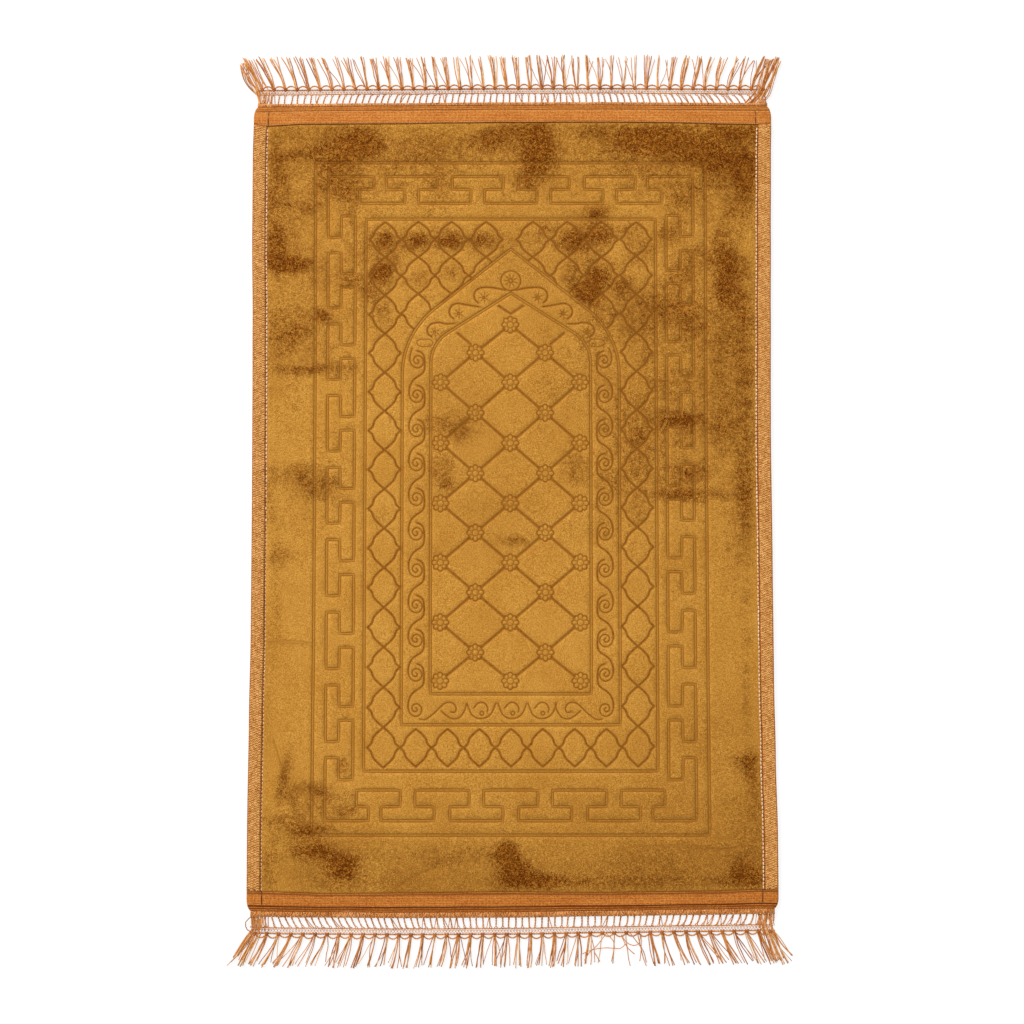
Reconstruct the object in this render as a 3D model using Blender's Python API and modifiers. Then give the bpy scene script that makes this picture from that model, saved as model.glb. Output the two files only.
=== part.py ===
"""A prayer rug lying face up: embossed velvet, two side bindings, two end tapes, two fringes.

X runs across the rug, Y along it towards the pointed arch, Z up from the surface it lies on.
Sizes are in millimetres times MM, so every value that reaches Blender is in metres.
"""
import math
from collections import namedtuple

import bmesh
import bpy
from mathutils import Matrix, Vector

MM = 0.001
GAP = 0.3 * MM                    # between pieces that touch

# The whole rug, without its fringes.
RUG_WIDTH = 650 * MM
RUG_LENGTH = 1000 * MM
HALF_WIDTH = RUG_WIDTH / 2
HALF_LENGTH = RUG_LENGTH / 2
PILE_TOP = 4.0 * MM               # thickness of the velvet, backing and pile

# Cloth folded round the velvet's edges: a lower leg, the pinched velvet, an upper leg.
FOLD_CLOTH = 1.1 * MM
MARGIN_LOW = FOLD_CLOTH + GAP
MARGIN_HIGH = 3.0 * MM
FOLD_TOP = MARGIN_HIGH + GAP + FOLD_CLOTH
FOLD_RADIUS = (FOLD_TOP - FOLD_CLOTH) / 2
EDGE_INSET = 2.0 * MM             # from the rug's edge to the velvet inside the fold
CORNER_RADIUS = 8.0 * MM
FOLD_STEPS = 6

BINDING_FACE = 16.6 * MM
TAPE_FACE_TOP = 23.0 * MM
TAPE_FACE_BOTTOM = 26.6 * MM

# Embossed channels.
CHANNEL_DEPTH = 0.9 * MM
FRAME_CHANNEL = 3.6 * MM
FINE_CHANNEL = 2.4 * MM
PATTERN_X = -2.0 * MM             # the pattern sits a little left of the rug's middle

Frame = namedtuple("Frame", "half_width bottom top")
OUTER_FRAME = Frame(245 * MM, -406.3 * MM, 428.7 * MM)
FRET_FRAME = Frame(228.6 * MM, -388.4 * MM, 411.4 * MM)
INNER_FRAME = Frame(181 * MM, -328.0 * MM, 357.5 * MM)

Arch = namedtuple("Arch", "half_width bottom spring apex radius")
OUTER_ARCH = Arch(135 * MM, -271.4 * MM, 163 * MM, 319.9 * MM, 103 * MM)
NICHE_ARCH = Arch(98.5 * MM, -233.5 * MM, 177 * MM, 264.4 * MM, 44 * MM)
ARCH_STEPS = 7

# The key fret: one closed path of bars at three depths from its outer line.
FRET_MID = 16.4 * MM
FRET_DEEP = 34.0 * MM
FRET_CORNER_CLEAR = 38.7 * MM
FretSide = namedtuple("FretSide", "inner_bars period outer_bar inner_bar corner_bar")
FRET_ROW = FretSide(5, 82.7 * MM, 64 * MM, 65.8 * MM, 57 * MM)
FRET_COLUMN = FretSide(8, 89.6 * MM, 69.6 * MM, 73 * MM, 77 * MM)

# Ogee border between the inner frame and the outer arch.
OGEE_COLUMN_X = 157.6 * MM
OGEE_BOTTOM = -323.4 * MM
OGEE_TOP = 353.0 * MM
OGEE_PITCH = 48.6 * MM
OGEE_COUNT = 14
OGEE_HALF_WIDTH = 18.4 * MM
OGEE_ROW_PITCH = 39.4 * MM
OGEE_ROW_HALF_WIDTH = 17.2 * MM
OGEE_ROW_HALF_HEIGHT = 22.0 * MM
# Columns above the arch: place across, and how many whole ogees fit above it.
SpandrelColumn = namedtuple("SpandrelColumn", "x ogees")
SPANDREL_COLUMNS = (
    SpandrelColumn(115.4 * MM, 2),
    SpandrelColumn(73.0 * MM, 1),
    SpandrelColumn(30.6 * MM, 1),
)

# Diamond lattice with a flower at each crossing, inside the niche.
LATTICE_TOP = 225.1 * MM
LATTICE_ROW = 36.9 * MM
LATTICE_COLUMN = 42.7 * MM
LATTICE_ROWS = 13
FLOWER_RADIUS = 11.5 * MM

# Fringes: heading, ladder of single threads, knotted band, tassels.
FRINGE_THICK = 1.8 * MM
LADDER_THREADS = 80
LADDER_THREAD = 1.7 * MM
LADDER_SLANT = 7.0 * MM
TASSELS = 44
STRANDS = 3
CORNER_STRANDS = 5
STRAND_ROOT = 1.2 * MM
STRAND_TIP = 0.8 * MM
ROOT_SPACING = 1.65 * MM
TIP_SPACING = 3.9 * MM
OUTER_SHORTER = 1.6 * MM          # each strand is this much shorter than its inner neighbour
BEND_AT = 0.5                     # share of a strand's length where it bends
BEND_LEAN = 0.4                   # share of its lean that it has reached there
ARCH_RISE = 2.6 * MM              # the loop of yarn between two tassels
ARCH_HALF_SPAN = 2.2 * MM
HEADING_HALF = HALF_WIDTH - 5.0 * MM
Fringe = namedtuple("Fringe", "name side heading ladder band strand leans")
# leans: how far the tassels' tips lean across, by place from left to right.
Lean = namedtuple("Lean", "place shift")
FRINGES = (
    Fringe("fringe_top", 1, 3.7 * MM, 13.0 * MM, 8.0 * MM, 40.0 * MM,
           (Lean(-1.0, -19 * MM), Lean(-0.85, -15 * MM), Lean(-0.7, -12 * MM),
            Lean(-0.5, -7 * MM), Lean(0.0, -6 * MM), Lean(0.3, -1 * MM),
            Lean(0.55, 1 * MM), Lean(0.65, 10 * MM), Lean(0.85, 12 * MM), Lean(1.0, 19 * MM))),
    Fringe("fringe_bottom", -1, 7.1 * MM, 13.5 * MM, 10.0 * MM, 38.0 * MM,
           (Lean(-1.0, -19 * MM), Lean(-0.8, -18 * MM), Lean(-0.65, -10 * MM),
            Lean(-0.3, -7 * MM), Lean(0.0, -1 * MM), Lean(0.35, -4 * MM),
            Lean(0.5, 8 * MM), Lean(0.65, 14 * MM), Lean(0.8, 18 * MM), Lean(1.0, 19 * MM))),
)


def fringe_reach(fringe):
    """How far a fringe reaches past the tape."""
    return GAP + fringe.heading + fringe.ladder + fringe.band + fringe.strand


# The origin is the middle of the whole object, fringes included.
ORIGIN_SHIFT = (fringe_reach(FRINGES[1]) - fringe_reach(FRINGES[0])) / 2


def clear_scene():
    for thing in list(bpy.data.objects):
        bpy.data.objects.remove(thing, do_unlink=True)


def make_collection(name):
    collection = bpy.data.collections.new(name)
    bpy.context.scene.collection.children.link(collection)
    return collection


def make_material(name, colour, roughness):
    material = bpy.data.materials.new(name)
    material.use_nodes = True
    shader = material.node_tree.nodes["Principled BSDF"]
    shader.inputs["Base Color"].default_value = (*colour, 1.0)
    shader.inputs["Roughness"].default_value = roughness
    shader.inputs["Metallic"].default_value = 0.0
    return material


def make_object(name, bm, collection, parent, material=None):
    mesh = bpy.data.meshes.new(name)
    bm.to_mesh(mesh)
    bm.free()
    thing = bpy.data.objects.new(name, mesh)
    collection.objects.link(thing)
    thing.parent = parent
    if material:
        mesh.materials.append(material)
    else:
        thing.hide_render = True
        thing.display_type = "WIRE"
    return thing


def block(low, high):
    """A box between two corners."""
    bm = bmesh.new()
    bmesh.ops.create_cube(bm, size=1.0)
    size = Vector(high) - Vector(low)
    middle = (Vector(high) + Vector(low)) / 2
    bmesh.ops.scale(bm, vec=size, verts=bm.verts)
    bmesh.ops.translate(bm, vec=middle, verts=bm.verts)
    return bm


def round_edges(bm, edges, radius, segments):
    bmesh.ops.bevel(bm, geom=edges, offset=radius, segments=segments, profile=0.5,
                    affect="EDGES", offset_type="OFFSET", material=-1)


def upright_edges(bm):
    return [e for e in bm.edges if abs(e.verts[0].co.z - e.verts[1].co.z) > GAP]


def boolean(thing, operation, tool):
    modifier = thing.modifiers.new(tool.name, "BOOLEAN")
    modifier.operation = operation
    modifier.solver = "EXACT"
    modifier.object = tool


# Embossed pattern: each channel is a path, made a wall and thickened to the channel's width.

def mirrored(points):
    return [Vector((-p.x, p.y)) for p in points]


def frame_path(frame):
    return [Vector((-frame.half_width, frame.bottom)), Vector((frame.half_width, frame.bottom)),
            Vector((frame.half_width, frame.top)), Vector((-frame.half_width, frame.top))]


def arch_path(arch):
    """Straight sides, a round shoulder and a straight slope up to the apex on each side."""
    centre = Vector((arch.half_width - arch.radius, arch.spring))
    to_apex = Vector((0.0, arch.apex)) - centre
    end = math.atan2(to_apex.y, to_apex.x) - math.acos(arch.radius / to_apex.length)
    right = [Vector((arch.half_width, arch.bottom))]
    for step in range(ARCH_STEPS + 1):
        angle = end * step / ARCH_STEPS
        right.append(centre + arch.radius * Vector((math.cos(angle), math.sin(angle))))
    return right + [Vector((0.0, arch.apex))] + list(reversed(mirrored(right)))


def fret_side_path(side, length):
    """Points along one side as (along, inward), from its first corner to the next one."""
    middle = length / 2
    outer_ends = [side.corner_bar]
    outer_starts = []
    for bar in range(side.inner_bars - 1):
        centre = middle + (bar - (side.inner_bars - 2) / 2) * side.period
        outer_starts.append(centre - side.outer_bar / 2)
        outer_ends.append(centre + side.outer_bar / 2)
    outer_starts.append(length - side.corner_bar)
    points = [(0.0, 0.0)]
    for bar in range(side.inner_bars):
        centre = middle + (bar - (side.inner_bars - 1) / 2) * side.period
        start = max(centre - side.inner_bar / 2, FRET_CORNER_CLEAR)
        end = min(centre + side.inner_bar / 2, length - FRET_CORNER_CLEAR)
        points += [(outer_ends[bar], 0.0), (outer_ends[bar], FRET_MID), (start, FRET_MID),
                   (start, FRET_DEEP), (end, FRET_DEEP), (end, FRET_MID),
                   (outer_starts[bar], FRET_MID), (outer_starts[bar], 0.0)]
    return points


def fret_path():
    """The whole fret, clockwise from the top left corner."""
    frame = FRET_FRAME
    row = fret_side_path(FRET_ROW, 2 * frame.half_width)
    column = fret_side_path(FRET_COLUMN, frame.top - frame.bottom)
    path = [Vector((-frame.half_width + a, frame.top - i)) for a, i in row]
    path += [Vector((frame.half_width - i, frame.top - a)) for a, i in column]
    path += [Vector((frame.half_width - a, frame.bottom + i)) for a, i in row]
    path += [Vector((-frame.half_width + i, frame.bottom + a)) for a, i in column]
    return path


def zigzag(x, half_width, levels):
    """A line that crosses x at each level and swings out between the levels, turn about."""
    points = [Vector((x, levels[0]))]
    swing = half_width
    for low, high in zip(levels, levels[1:]):
        points += [Vector((x + swing, (low + high) / 2)), Vector((x, high))]
        swing = -swing
    return points


def ogee_levels(count):
    """Crossing heights of a column's topmost ogees, from the top down."""
    whole = [OGEE_BOTTOM + OGEE_PITCH * step for step in range(OGEE_COUNT)] + [OGEE_TOP]
    return list(reversed(whole))[:count + 1]


def ogee_paths(swing):
    """One line of each crossing pair: swing is 1 or -1."""
    paths = []
    for side in (-1, 1):
        paths.append(zigzag(side * OGEE_COLUMN_X, swing * OGEE_HALF_WIDTH,
                            ogee_levels(OGEE_COUNT)))
        for column in SPANDREL_COLUMNS:
            paths.append(zigzag(side * column.x, swing * OGEE_HALF_WIDTH,
                                ogee_levels(column.ogees)))
    row_y = OGEE_BOTTOM + OGEE_PITCH / 2
    for place in range(-3, 4):
        levels = [row_y - OGEE_ROW_HALF_HEIGHT, row_y + OGEE_ROW_HALF_HEIGHT]
        paths.append(zigzag(place * OGEE_ROW_PITCH, swing * OGEE_ROW_HALF_WIDTH, levels))
    return paths


def lattice_columns(row):
    if row == 0:
        return (0,)
    return (-1, 1) if row % 2 else (-2, 0, 2)


def lattice_paths():
    """Short channels between neighbouring flowers."""
    paths = []
    for row in range(LATTICE_ROWS - 1):
        for column in lattice_columns(row):
            for step in (-1, 1):
                if column + step not in lattice_columns(row + 1):
                    continue
                start = Vector((column * LATTICE_COLUMN, LATTICE_TOP - row * LATTICE_ROW))
                end = start + Vector((step * LATTICE_COLUMN, -LATTICE_ROW))
                along = (end - start).normalized() * FLOWER_RADIUS
                paths.append([start + along, end - along])
    return paths


def channel_cutter(name, paths, width, closed, collection, parent):
    """Walls on the paths, thickened evenly by Solidify, from the channel's floor upwards."""
    floor = PILE_TOP - CHANNEL_DEPTH
    bm = bmesh.new()
    for path in paths:
        verts = [bm.verts.new((p.x + PATTERN_X, p.y, floor)) for p in path]
        ends = verts[1:] + verts[:1] if closed else verts[1:]
        for start, end in zip(verts, ends):
            bm.edges.new((start, end))
    wall = bmesh.ops.extrude_edge_only(bm, edges=list(bm.edges))
    raised = [v for v in wall["geom"] if isinstance(v, bmesh.types.BMVert)]
    bmesh.ops.translate(bm, vec=(0.0, 0.0, 2 * CHANNEL_DEPTH), verts=raised)
    bmesh.ops.recalc_face_normals(bm, faces=bm.faces)
    cutter = make_object(name, bm, collection, parent)
    thick = cutter.modifiers.new("width", "SOLIDIFY")
    thick.thickness = width
    thick.offset = 0.0
    thick.use_even_offset = True
    return cutter


def make_velvet(parts, cutters, parent, material):
    """A pinched margin plate joined to the thicker field, then cut by the channels."""
    margin_x = HALF_WIDTH - EDGE_INSET
    margin_y = HALF_LENGTH - EDGE_INSET
    plate = block((-margin_x, -margin_y, MARGIN_LOW), (margin_x, margin_y, MARGIN_HIGH))
    round_edges(plate, upright_edges(plate), CORNER_RADIUS, 3)
    velvet = make_object("velvet_body", plate, parts, parent, material)
    field_x = HALF_WIDTH - BINDING_FACE - GAP
    field = block((-field_x, -HALF_LENGTH + TAPE_FACE_BOTTOM + GAP, 0.0),
                  (field_x, HALF_LENGTH - TAPE_FACE_TOP - GAP, PILE_TOP))
    boolean(velvet, "UNION", make_object("field", field, cutters, parent))
    frames = [frame_path(OUTER_FRAME), frame_path(INNER_FRAME),
              arch_path(OUTER_ARCH), arch_path(NICHE_ARCH)]
    channels = (
        ("frames", frames, FRAME_CHANNEL, True),
        ("fret", [fret_path()], FRAME_CHANNEL, True),
        ("ogees_one_way", ogee_paths(1), FINE_CHANNEL, False),
        ("ogees_other_way", ogee_paths(-1), FINE_CHANNEL, False),
        ("lattice", lattice_paths(), FINE_CHANNEL, False),
    )
    for name, paths, width, closed in channels:
        cutter = channel_cutter(name, paths, width, closed, cutters, parent)
        boolean(velvet, "DIFFERENCE", cutter)


def make_side_binding(name, side, parts, parent, material):
    """Knitted tape: its section folds round the edge, and runs between the two end tapes."""
    inner_x = HALF_WIDTH - BINDING_FACE
    fold_x = HALF_WIDTH - FOLD_CLOTH / 2 - FOLD_RADIUS
    middle_z = FOLD_TOP / 2
    section = [Vector((inner_x, 0.0, middle_z + FOLD_RADIUS))]
    for step in range(FOLD_STEPS + 1):
        angle = math.pi / 2 - math.pi * step / FOLD_STEPS
        section.append(Vector((fold_x + FOLD_RADIUS * math.cos(angle), 0.0,
                               middle_z + FOLD_RADIUS * math.sin(angle))))
    section.append(Vector((inner_x, 0.0, middle_z - FOLD_RADIUS)))
    start_y = -HALF_LENGTH + TAPE_FACE_BOTTOM + GAP
    end_y = HALF_LENGTH - TAPE_FACE_TOP - GAP
    bm = bmesh.new()
    verts = [bm.verts.new((side * p.x, start_y, p.z)) for p in section]
    edges = [bm.edges.new(pair) for pair in zip(verts, verts[1:])]
    strip = bmesh.ops.extrude_edge_only(bm, edges=edges)
    far = [v for v in strip["geom"] if isinstance(v, bmesh.types.BMVert)]
    bmesh.ops.translate(bm, vec=(0.0, end_y - start_y, 0.0), verts=far)
    bmesh.ops.recalc_face_normals(bm, faces=bm.faces)
    binding = make_object(name, bm, parts, parent, material)
    cloth = binding.modifiers.new("cloth", "SOLIDIFY")
    cloth.thickness = FOLD_CLOTH
    cloth.offset = 0.0
    cloth.use_even_offset = True


def make_end_tape(name, side, face, parts, cutters, parent, material):
    """Woven tape folded over the end, its own ends turned in: a block with a slot."""
    inner_y = HALF_LENGTH - face
    outer = block((-HALF_WIDTH, side * HALF_LENGTH, 0.0), (HALF_WIDTH, side * inner_y, FOLD_TOP))
    bmesh.ops.recalc_face_normals(outer, faces=outer.faces)
    end_edges = [e for e in upright_edges(outer) if abs(e.verts[0].co.y) > HALF_LENGTH - GAP]
    round_edges(outer, end_edges, CORNER_RADIUS, 4)
    rim = [e for e in outer.edges
           if len({round(v.co.z / GAP) for v in e.verts}) == 1
           and not all(abs(v.co.y) < inner_y + GAP for v in e.verts)]
    round_edges(outer, rim, FOLD_CLOTH, 2)
    tape = make_object(name, outer, parts, parent, material)
    slot_x = HALF_WIDTH - EDGE_INSET + GAP
    slot_y = HALF_LENGTH - EDGE_INSET + GAP
    slot = block((-slot_x, side * slot_y, MARGIN_LOW - GAP),
                 (slot_x, side * (inner_y - FOLD_CLOTH), MARGIN_HIGH + GAP))
    bmesh.ops.recalc_face_normals(slot, faces=slot.faces)
    slot_ends = [e for e in upright_edges(slot) if abs(e.verts[0].co.y) > slot_y - GAP]
    round_edges(slot, slot_ends, CORNER_RADIUS, 3)
    boolean(tape, "DIFFERENCE", make_object(name + "_slot", slot, cutters, parent))


def lean_at(leans, place):
    """The lean at a place between the table's rows."""
    for before, after in zip(leans, leans[1:]):
        if place <= after.place:
            share = (place - before.place) / (after.place - before.place)
            return before.shift + share * (after.shift - before.shift)
    return leans[-1].shift


def extrude_edges(bm, edges, place_end):
    """Extrude edges one by one; place_end gives where each new point goes."""
    new_edges = []
    for edge in edges:
        made = bmesh.ops.extrude_edge_only(bm, edges=[edge])["geom"]
        for vert in (g for g in made if isinstance(g, bmesh.types.BMVert)):
            vert.co = place_end(vert.co)
        new_edges += [g for g in made if isinstance(g, bmesh.types.BMEdge)
                      and all(v in made for v in g.verts)]
    return new_edges


def make_fringe(fringe, parts, parent, material):
    """A flat network of threads in one sheet, given its thickness by Solidify."""
    side = fringe.side
    heading_y = side * (HALF_LENGTH + GAP)
    ladder_y = heading_y + side * fringe.heading
    band_y = ladder_y + side * fringe.ladder
    root_y = band_y + side * fringe.band
    bm = bmesh.new()

    # Heading: a strip whose outer edge has a short edge for every ladder thread.
    half = HEADING_HALF
    pitch = 2 * (half - LADDER_THREAD / 2) / (LADDER_THREADS - 1)
    places = [-half + LADDER_THREAD / 2 + pitch * n for n in range(LADDER_THREADS)]
    outer = []
    for x in places:
        outer.append(bm.verts.new((x - LADDER_THREAD / 2, ladder_y, 0.0)))
        outer.append(bm.verts.new((x + LADDER_THREAD / 2, ladder_y, 0.0)))
    inner = [bm.verts.new((half, heading_y, 0.0)), bm.verts.new((-half, heading_y, 0.0))]
    heading = [bm.edges.new(pair) for pair in zip(outer, outer[1:])]
    heading += [bm.edges.new((outer[-1], inner[0])), bm.edges.new(inner),
                bm.edges.new((inner[1], outer[0]))]
    bmesh.ops.contextual_create(bm, geom=heading)

    # Ladder: one thread from each short edge, slanting towards the middle but at the ends.
    def ladder_end(co):
        place = co.x / half
        return Vector((co.x - LADDER_SLANT * place * (1 - place ** 4), band_y, 0.0))
    ends = extrude_edges(bm, heading[0:2 * LADDER_THREADS:2], ladder_end)
    band_inner = []
    for edge in ends:
        band_inner += sorted(edge.verts, key=lambda v: v.co.x)

    # Band: chain and knots, arched between the tassels, with an edge for each strand.
    band_half = band_inner[-1].co.x
    tassel_pitch = 2 * (band_half - CORNER_STRANDS * ROOT_SPACING / 2) / (TASSELS - 1)
    band_outer = []
    root_edges = []
    for number in range(TASSELS):
        at_end = number in (0, TASSELS - 1)
        count = CORNER_STRANDS if at_end else STRANDS
        middle = (number - (TASSELS - 1) / 2) * tassel_pitch
        if number:
            between = middle - tassel_pitch / 2
            for offset in (-ARCH_HALF_SPAN, ARCH_HALF_SPAN):
                arch_y = root_y + side * ARCH_RISE
                band_outer.append(bm.verts.new((between + offset, arch_y, 0.0)))
        for strand in range(count):
            offset = (strand - (count - 1) / 2) * ROOT_SPACING
            left = bm.verts.new((middle + offset - STRAND_ROOT / 2, root_y, 0.0))
            right = bm.verts.new((middle + offset + STRAND_ROOT / 2, root_y, 0.0))
            band_outer += [left, right]
            root_edges.append((left, right, middle, strand - (count - 1) / 2))
    loop = band_inner + list(reversed(band_outer))
    band = [bm.edges.get(pair) or bm.edges.new(pair) for pair in zip(loop, loop[1:] + loop[:1])]
    bmesh.ops.contextual_create(bm, geom=band)

    # Tassels: strands that fan out and lean, in two lengths with a bend.
    for left, right, middle, number in root_edges:
        lean = lean_at(fringe.leans, middle / band_half)
        reach = fringe.strand - abs(number) * OUTER_SHORTER
        centre = (left.co.x + right.co.x) / 2
        tip = middle + number * TIP_SPACING + lean
        bend = centre + (tip - centre) * BEND_LEAN
        edge = bm.edges.get((left, right))
        for x, length, width in ((bend, BEND_AT, STRAND_ROOT), (tip, 1.0, STRAND_TIP)):
            def strand_end(co, x=x, length=length, width=width, edge=edge):
                middle_x = (edge.verts[0].co.x + edge.verts[1].co.x) / 2
                turn = 1 if co.x > middle_x else -1
                return Vector((x + turn * width / 2, root_y + side * reach * length, 0.0))
            edge = extrude_edges(bm, [edge], strand_end)[0]

    bmesh.ops.recalc_face_normals(bm, faces=bm.faces)
    if bm.faces[:][0].normal.z < 0:
        bmesh.ops.reverse_faces(bm, faces=bm.faces)
    network = make_object(fringe.name, bm, parts, parent, material)
    thick = network.modifiers.new("thickness", "SOLIDIFY")
    thick.thickness = FRINGE_THICK
    thick.offset = 1.0


def main():
    clear_scene()
    parts = make_collection("prayer_rug")
    cutters = make_collection("cutters")
    rug = bpy.data.objects.new("rug", None)
    rug.matrix_world = Matrix.Translation((0.0, ORIGIN_SHIFT, 0.0))
    parts.objects.link(rug)
    velvet = make_material("gold_velvet", (0.52, 0.25, 0.04), 0.85)
    knit = make_material("gold_knit", (0.55, 0.28, 0.08), 0.9)
    tape = make_material("orange_tape", (0.56, 0.21, 0.05), 0.85)
    yarn = make_material("orange_yarn", (0.55, 0.26, 0.12), 0.8)
    make_velvet(parts, cutters, rug, velvet)
    make_side_binding("side_binding_left", -1, parts, rug, knit)
    make_side_binding("side_binding_right", 1, parts, rug, knit)
    make_end_tape("end_tape_top", 1, TAPE_FACE_TOP, parts, cutters, rug, tape)
    make_end_tape("end_tape_bottom", -1, TAPE_FACE_BOTTOM, parts, cutters, rug, tape)
    for fringe in FRINGES:
        make_fringe(fringe, parts, rug, yarn)


main()
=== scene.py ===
import math
import random
from collections import namedtuple

import bmesh
import bpy
from mathutils import Matrix, Vector, kdtree, noise
from mathutils.geometry import delaunay_2d_cdt, interpolate_bezier, intersect_point_line


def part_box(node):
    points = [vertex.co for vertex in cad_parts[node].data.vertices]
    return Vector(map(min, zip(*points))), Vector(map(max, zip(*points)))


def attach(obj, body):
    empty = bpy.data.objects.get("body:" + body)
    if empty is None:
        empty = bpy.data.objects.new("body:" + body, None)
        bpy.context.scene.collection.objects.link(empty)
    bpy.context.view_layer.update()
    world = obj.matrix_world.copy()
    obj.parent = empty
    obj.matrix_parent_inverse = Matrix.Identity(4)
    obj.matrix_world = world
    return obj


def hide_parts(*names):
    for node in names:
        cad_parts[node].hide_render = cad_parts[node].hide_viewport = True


# A prayer rug lying face up. Its pieces: embossed plush, two knitted side bindings, two woven
# end tapes, two fringes of real threads. The plan is drawn in millimetres from the middle of
# the rug without its fringes: x across, y towards the pointed arch, z up from the floor.
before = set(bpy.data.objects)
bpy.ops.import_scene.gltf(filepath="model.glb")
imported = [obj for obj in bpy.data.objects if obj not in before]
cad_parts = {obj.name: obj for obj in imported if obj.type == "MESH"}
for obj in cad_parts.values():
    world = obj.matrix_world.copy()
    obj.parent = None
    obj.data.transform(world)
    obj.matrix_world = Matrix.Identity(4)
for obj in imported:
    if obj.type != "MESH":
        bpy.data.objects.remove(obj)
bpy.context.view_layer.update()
MM = 0.001
VELVET_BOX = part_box("velvet_body")
PLAN_MIDDLE = Vector((0.0, (VELVET_BOX[0].y + VELVET_BOX[1].y) / 2, 0.0))
# Without a seed of its own, the noise that wobbles the stitches would differ at each run.
noise.seed_set(1)

# The bound rug, and the slit between neighbouring pieces.
HALF_WIDTH = 325.0
HALF_LENGTH = 500.0
GAP = 0.3
# The plush, and its thinner margin inside the folded tapes and bindings.
PILE_TOP = 4.0
MARGIN_LOW = 1.4
MARGIN_HIGH = 3.0
EDGE_INSET = 2.0
PLATE_CORNER = 8.0
# Folded cloth: its thickness, its height, its upper faces, and what the fold takes up.
FOLD_CLOTH = 1.1
FOLD_TOP = 4.4
BINDING_FACE = 16.6
TAPE_FACE_TOP = 23.0
TAPE_FACE_BOTTOM = 26.6
# The plush that shows between the tapes and bindings.
FIELD_X = HALF_WIDTH - BINDING_FACE - GAP
FIELD_BOTTOM = -HALF_LENGTH + TAPE_FACE_BOTTOM + GAP
FIELD_TOP = HALF_LENGTH - TAPE_FACE_TOP - GAP


def table_of(kind, *rows):
    """A table whose rows have the kind's named columns."""
    return [kind(*row) for row in rows]


# ---- Lines of the embossed pattern, in millimetres from the pattern's own middle ----

PATTERN_X = -2.0

Frame = namedtuple("Frame", "half_width bottom top")
OUTER_FRAME = Frame(244.0, -405.9, 428.7)
FRET_FRAME = Frame(228.2, -388.4, 411.4)
INNER_FRAME = Frame(181.0, -328.0, 357.5)

Arch = namedtuple("Arch", "half_width bottom spring apex radius")
OUTER_ARCH = Arch(135.0, -271.4, 163.0, 319.9, 103.0)
NICHE_ARCH = Arch(99.4, -233.5, 177.0, 264.4, 44.0)

FRET_CORNER_CLEAR = 38.7
FretSide = namedtuple("FretSide",
                      "inner_bars period outer_bar inner_bar corner_bar middle deep")
FRET_HEAD = FretSide(5, 82.7, 64.0, 65.8, 57.0, 16.4, 34.0)
FRET_FOOT = FretSide(5, 84.5, 65.4, 66.8, 53.8, 17.2, 37.4)
FRET_COLUMN = FretSide(8, 89.6, 69.6, 73.0, 77.0, 16.4, 34.0)
Climb = namedtuple("Climb", "down rise")
FRET_RIGHT_CLIMB = table_of(
    Climb,
    (0, 0), (60, 0.8), (140, 4.4), (300, 4.2), (480, 3.6), (620, 1.2), (700, 0),
)

# A quarter of an ogee, from its point out to its side tip: a dome above, a vee below.
Quarter = namedtuple("Quarter", "out along")
DOME = table_of(
    Quarter,
    (0, 0), (0.27, 0.18), (0.50, 0.37), (0.63, 0.52), (0.68, 0.67), (0.74, 0.80), (0.87, 0.91),
    (1, 1),
)
VEE = table_of(
    Quarter,
    (0, 0), (0.25, 0.19), (0.48, 0.37), (0.63, 0.53), (0.69, 0.67), (0.75, 0.80), (0.87, 0.91),
    (1, 1),
)
OGEE_STEP = 1.8
OGEE_COLUMN_X = 156.8
OGEE_RIGHT_RISE = 1.4
OGEE_HALF_WIDTH = 20.3
OGEE_BOTTOM = -323.9
OGEE_TOP = 353.5
OGEE_PITCH = 48.7
OGEE_DRIFT = 2.2
OGEES = 13
OGEE_LEVELS = [OGEE_BOTTOM + OGEE_PITCH * step + OGEE_DRIFT * math.sin(math.pi * step / OGEES)
               for step in range(OGEES + 1)] + [OGEE_TOP]
OGEE_ROW_PITCH = 39.1
OGEE_ROW_X = 0.5
OGEE_ROW_HALF_WIDTH = 19.6
OGEE_ROW_LEVELS = (-322.5, -276.6)
SPANDREL_XS = (-115.4, -74.0, -30.8, 27.6, 70.8, 113.4)
SPANDREL_HALF_WIDTH = 21.3
SPANDREL_LEVELS = (214.2, 263.1, 309.3, 354.0)

LATTICE_X = -0.6
LATTICE_COLUMN = 43.3
LATTICE_LEVELS = (224.4, 189.3, 152.3, 114.2, 76.5, 38.8, 1.6, -34.9, -71.8, -108.6, -145.7,
                  -182.6, -217.5)
FLOWER_RADIUS = 8.4
FLOWER_LOBE = 2.2
FLOWER_LOBES = 8
FLOWER_RING = 4.0
FLOWER_CLEAR = 0.6
FLOWER_SPOKE = (5.4, 8.0)

# Scrolls of the border, on its left side; the right side is the mirror image. A curl's line
# is drawn from its own middle, for curls that stand one pitch apart.
SCROLL_STEP = 1.9
CURL_X = -117.0
CURL_PITCH = 43.2
CURL_YS = (181.1, 138.0, 95.3, 52.9, 9.8, -33.2, -78.6, -122.9, -164.8, -207.0, -250.2)
CURL_LINE = ((1.2, 10.4), (5.6, 8.6), (8.6, 5.0), (9.8, -0.8), (10.0, -7.6), (9.0, -14.6),
             (5.4, -19.0), (0.6, -22.0), (-4.2, -26.0), (-7.4, -31.0), (-9.2, -36.8),
             (-9.5, -43.5), (-7.6, -49.4), (-4.0, -52.8), (0.4, -54.0), (4.8, -52.2),
             (7.2, -48.2), (7.0, -43.6), (4.4, -40.0), (0.4, -38.6), (-3.4, -40.4),
             (-4.8, -44.0), (-3.2, -47.4), (0.2, -48.4), (2.0, -45.4), (0.0, -43.4))
CURL_STEM = 11
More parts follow.
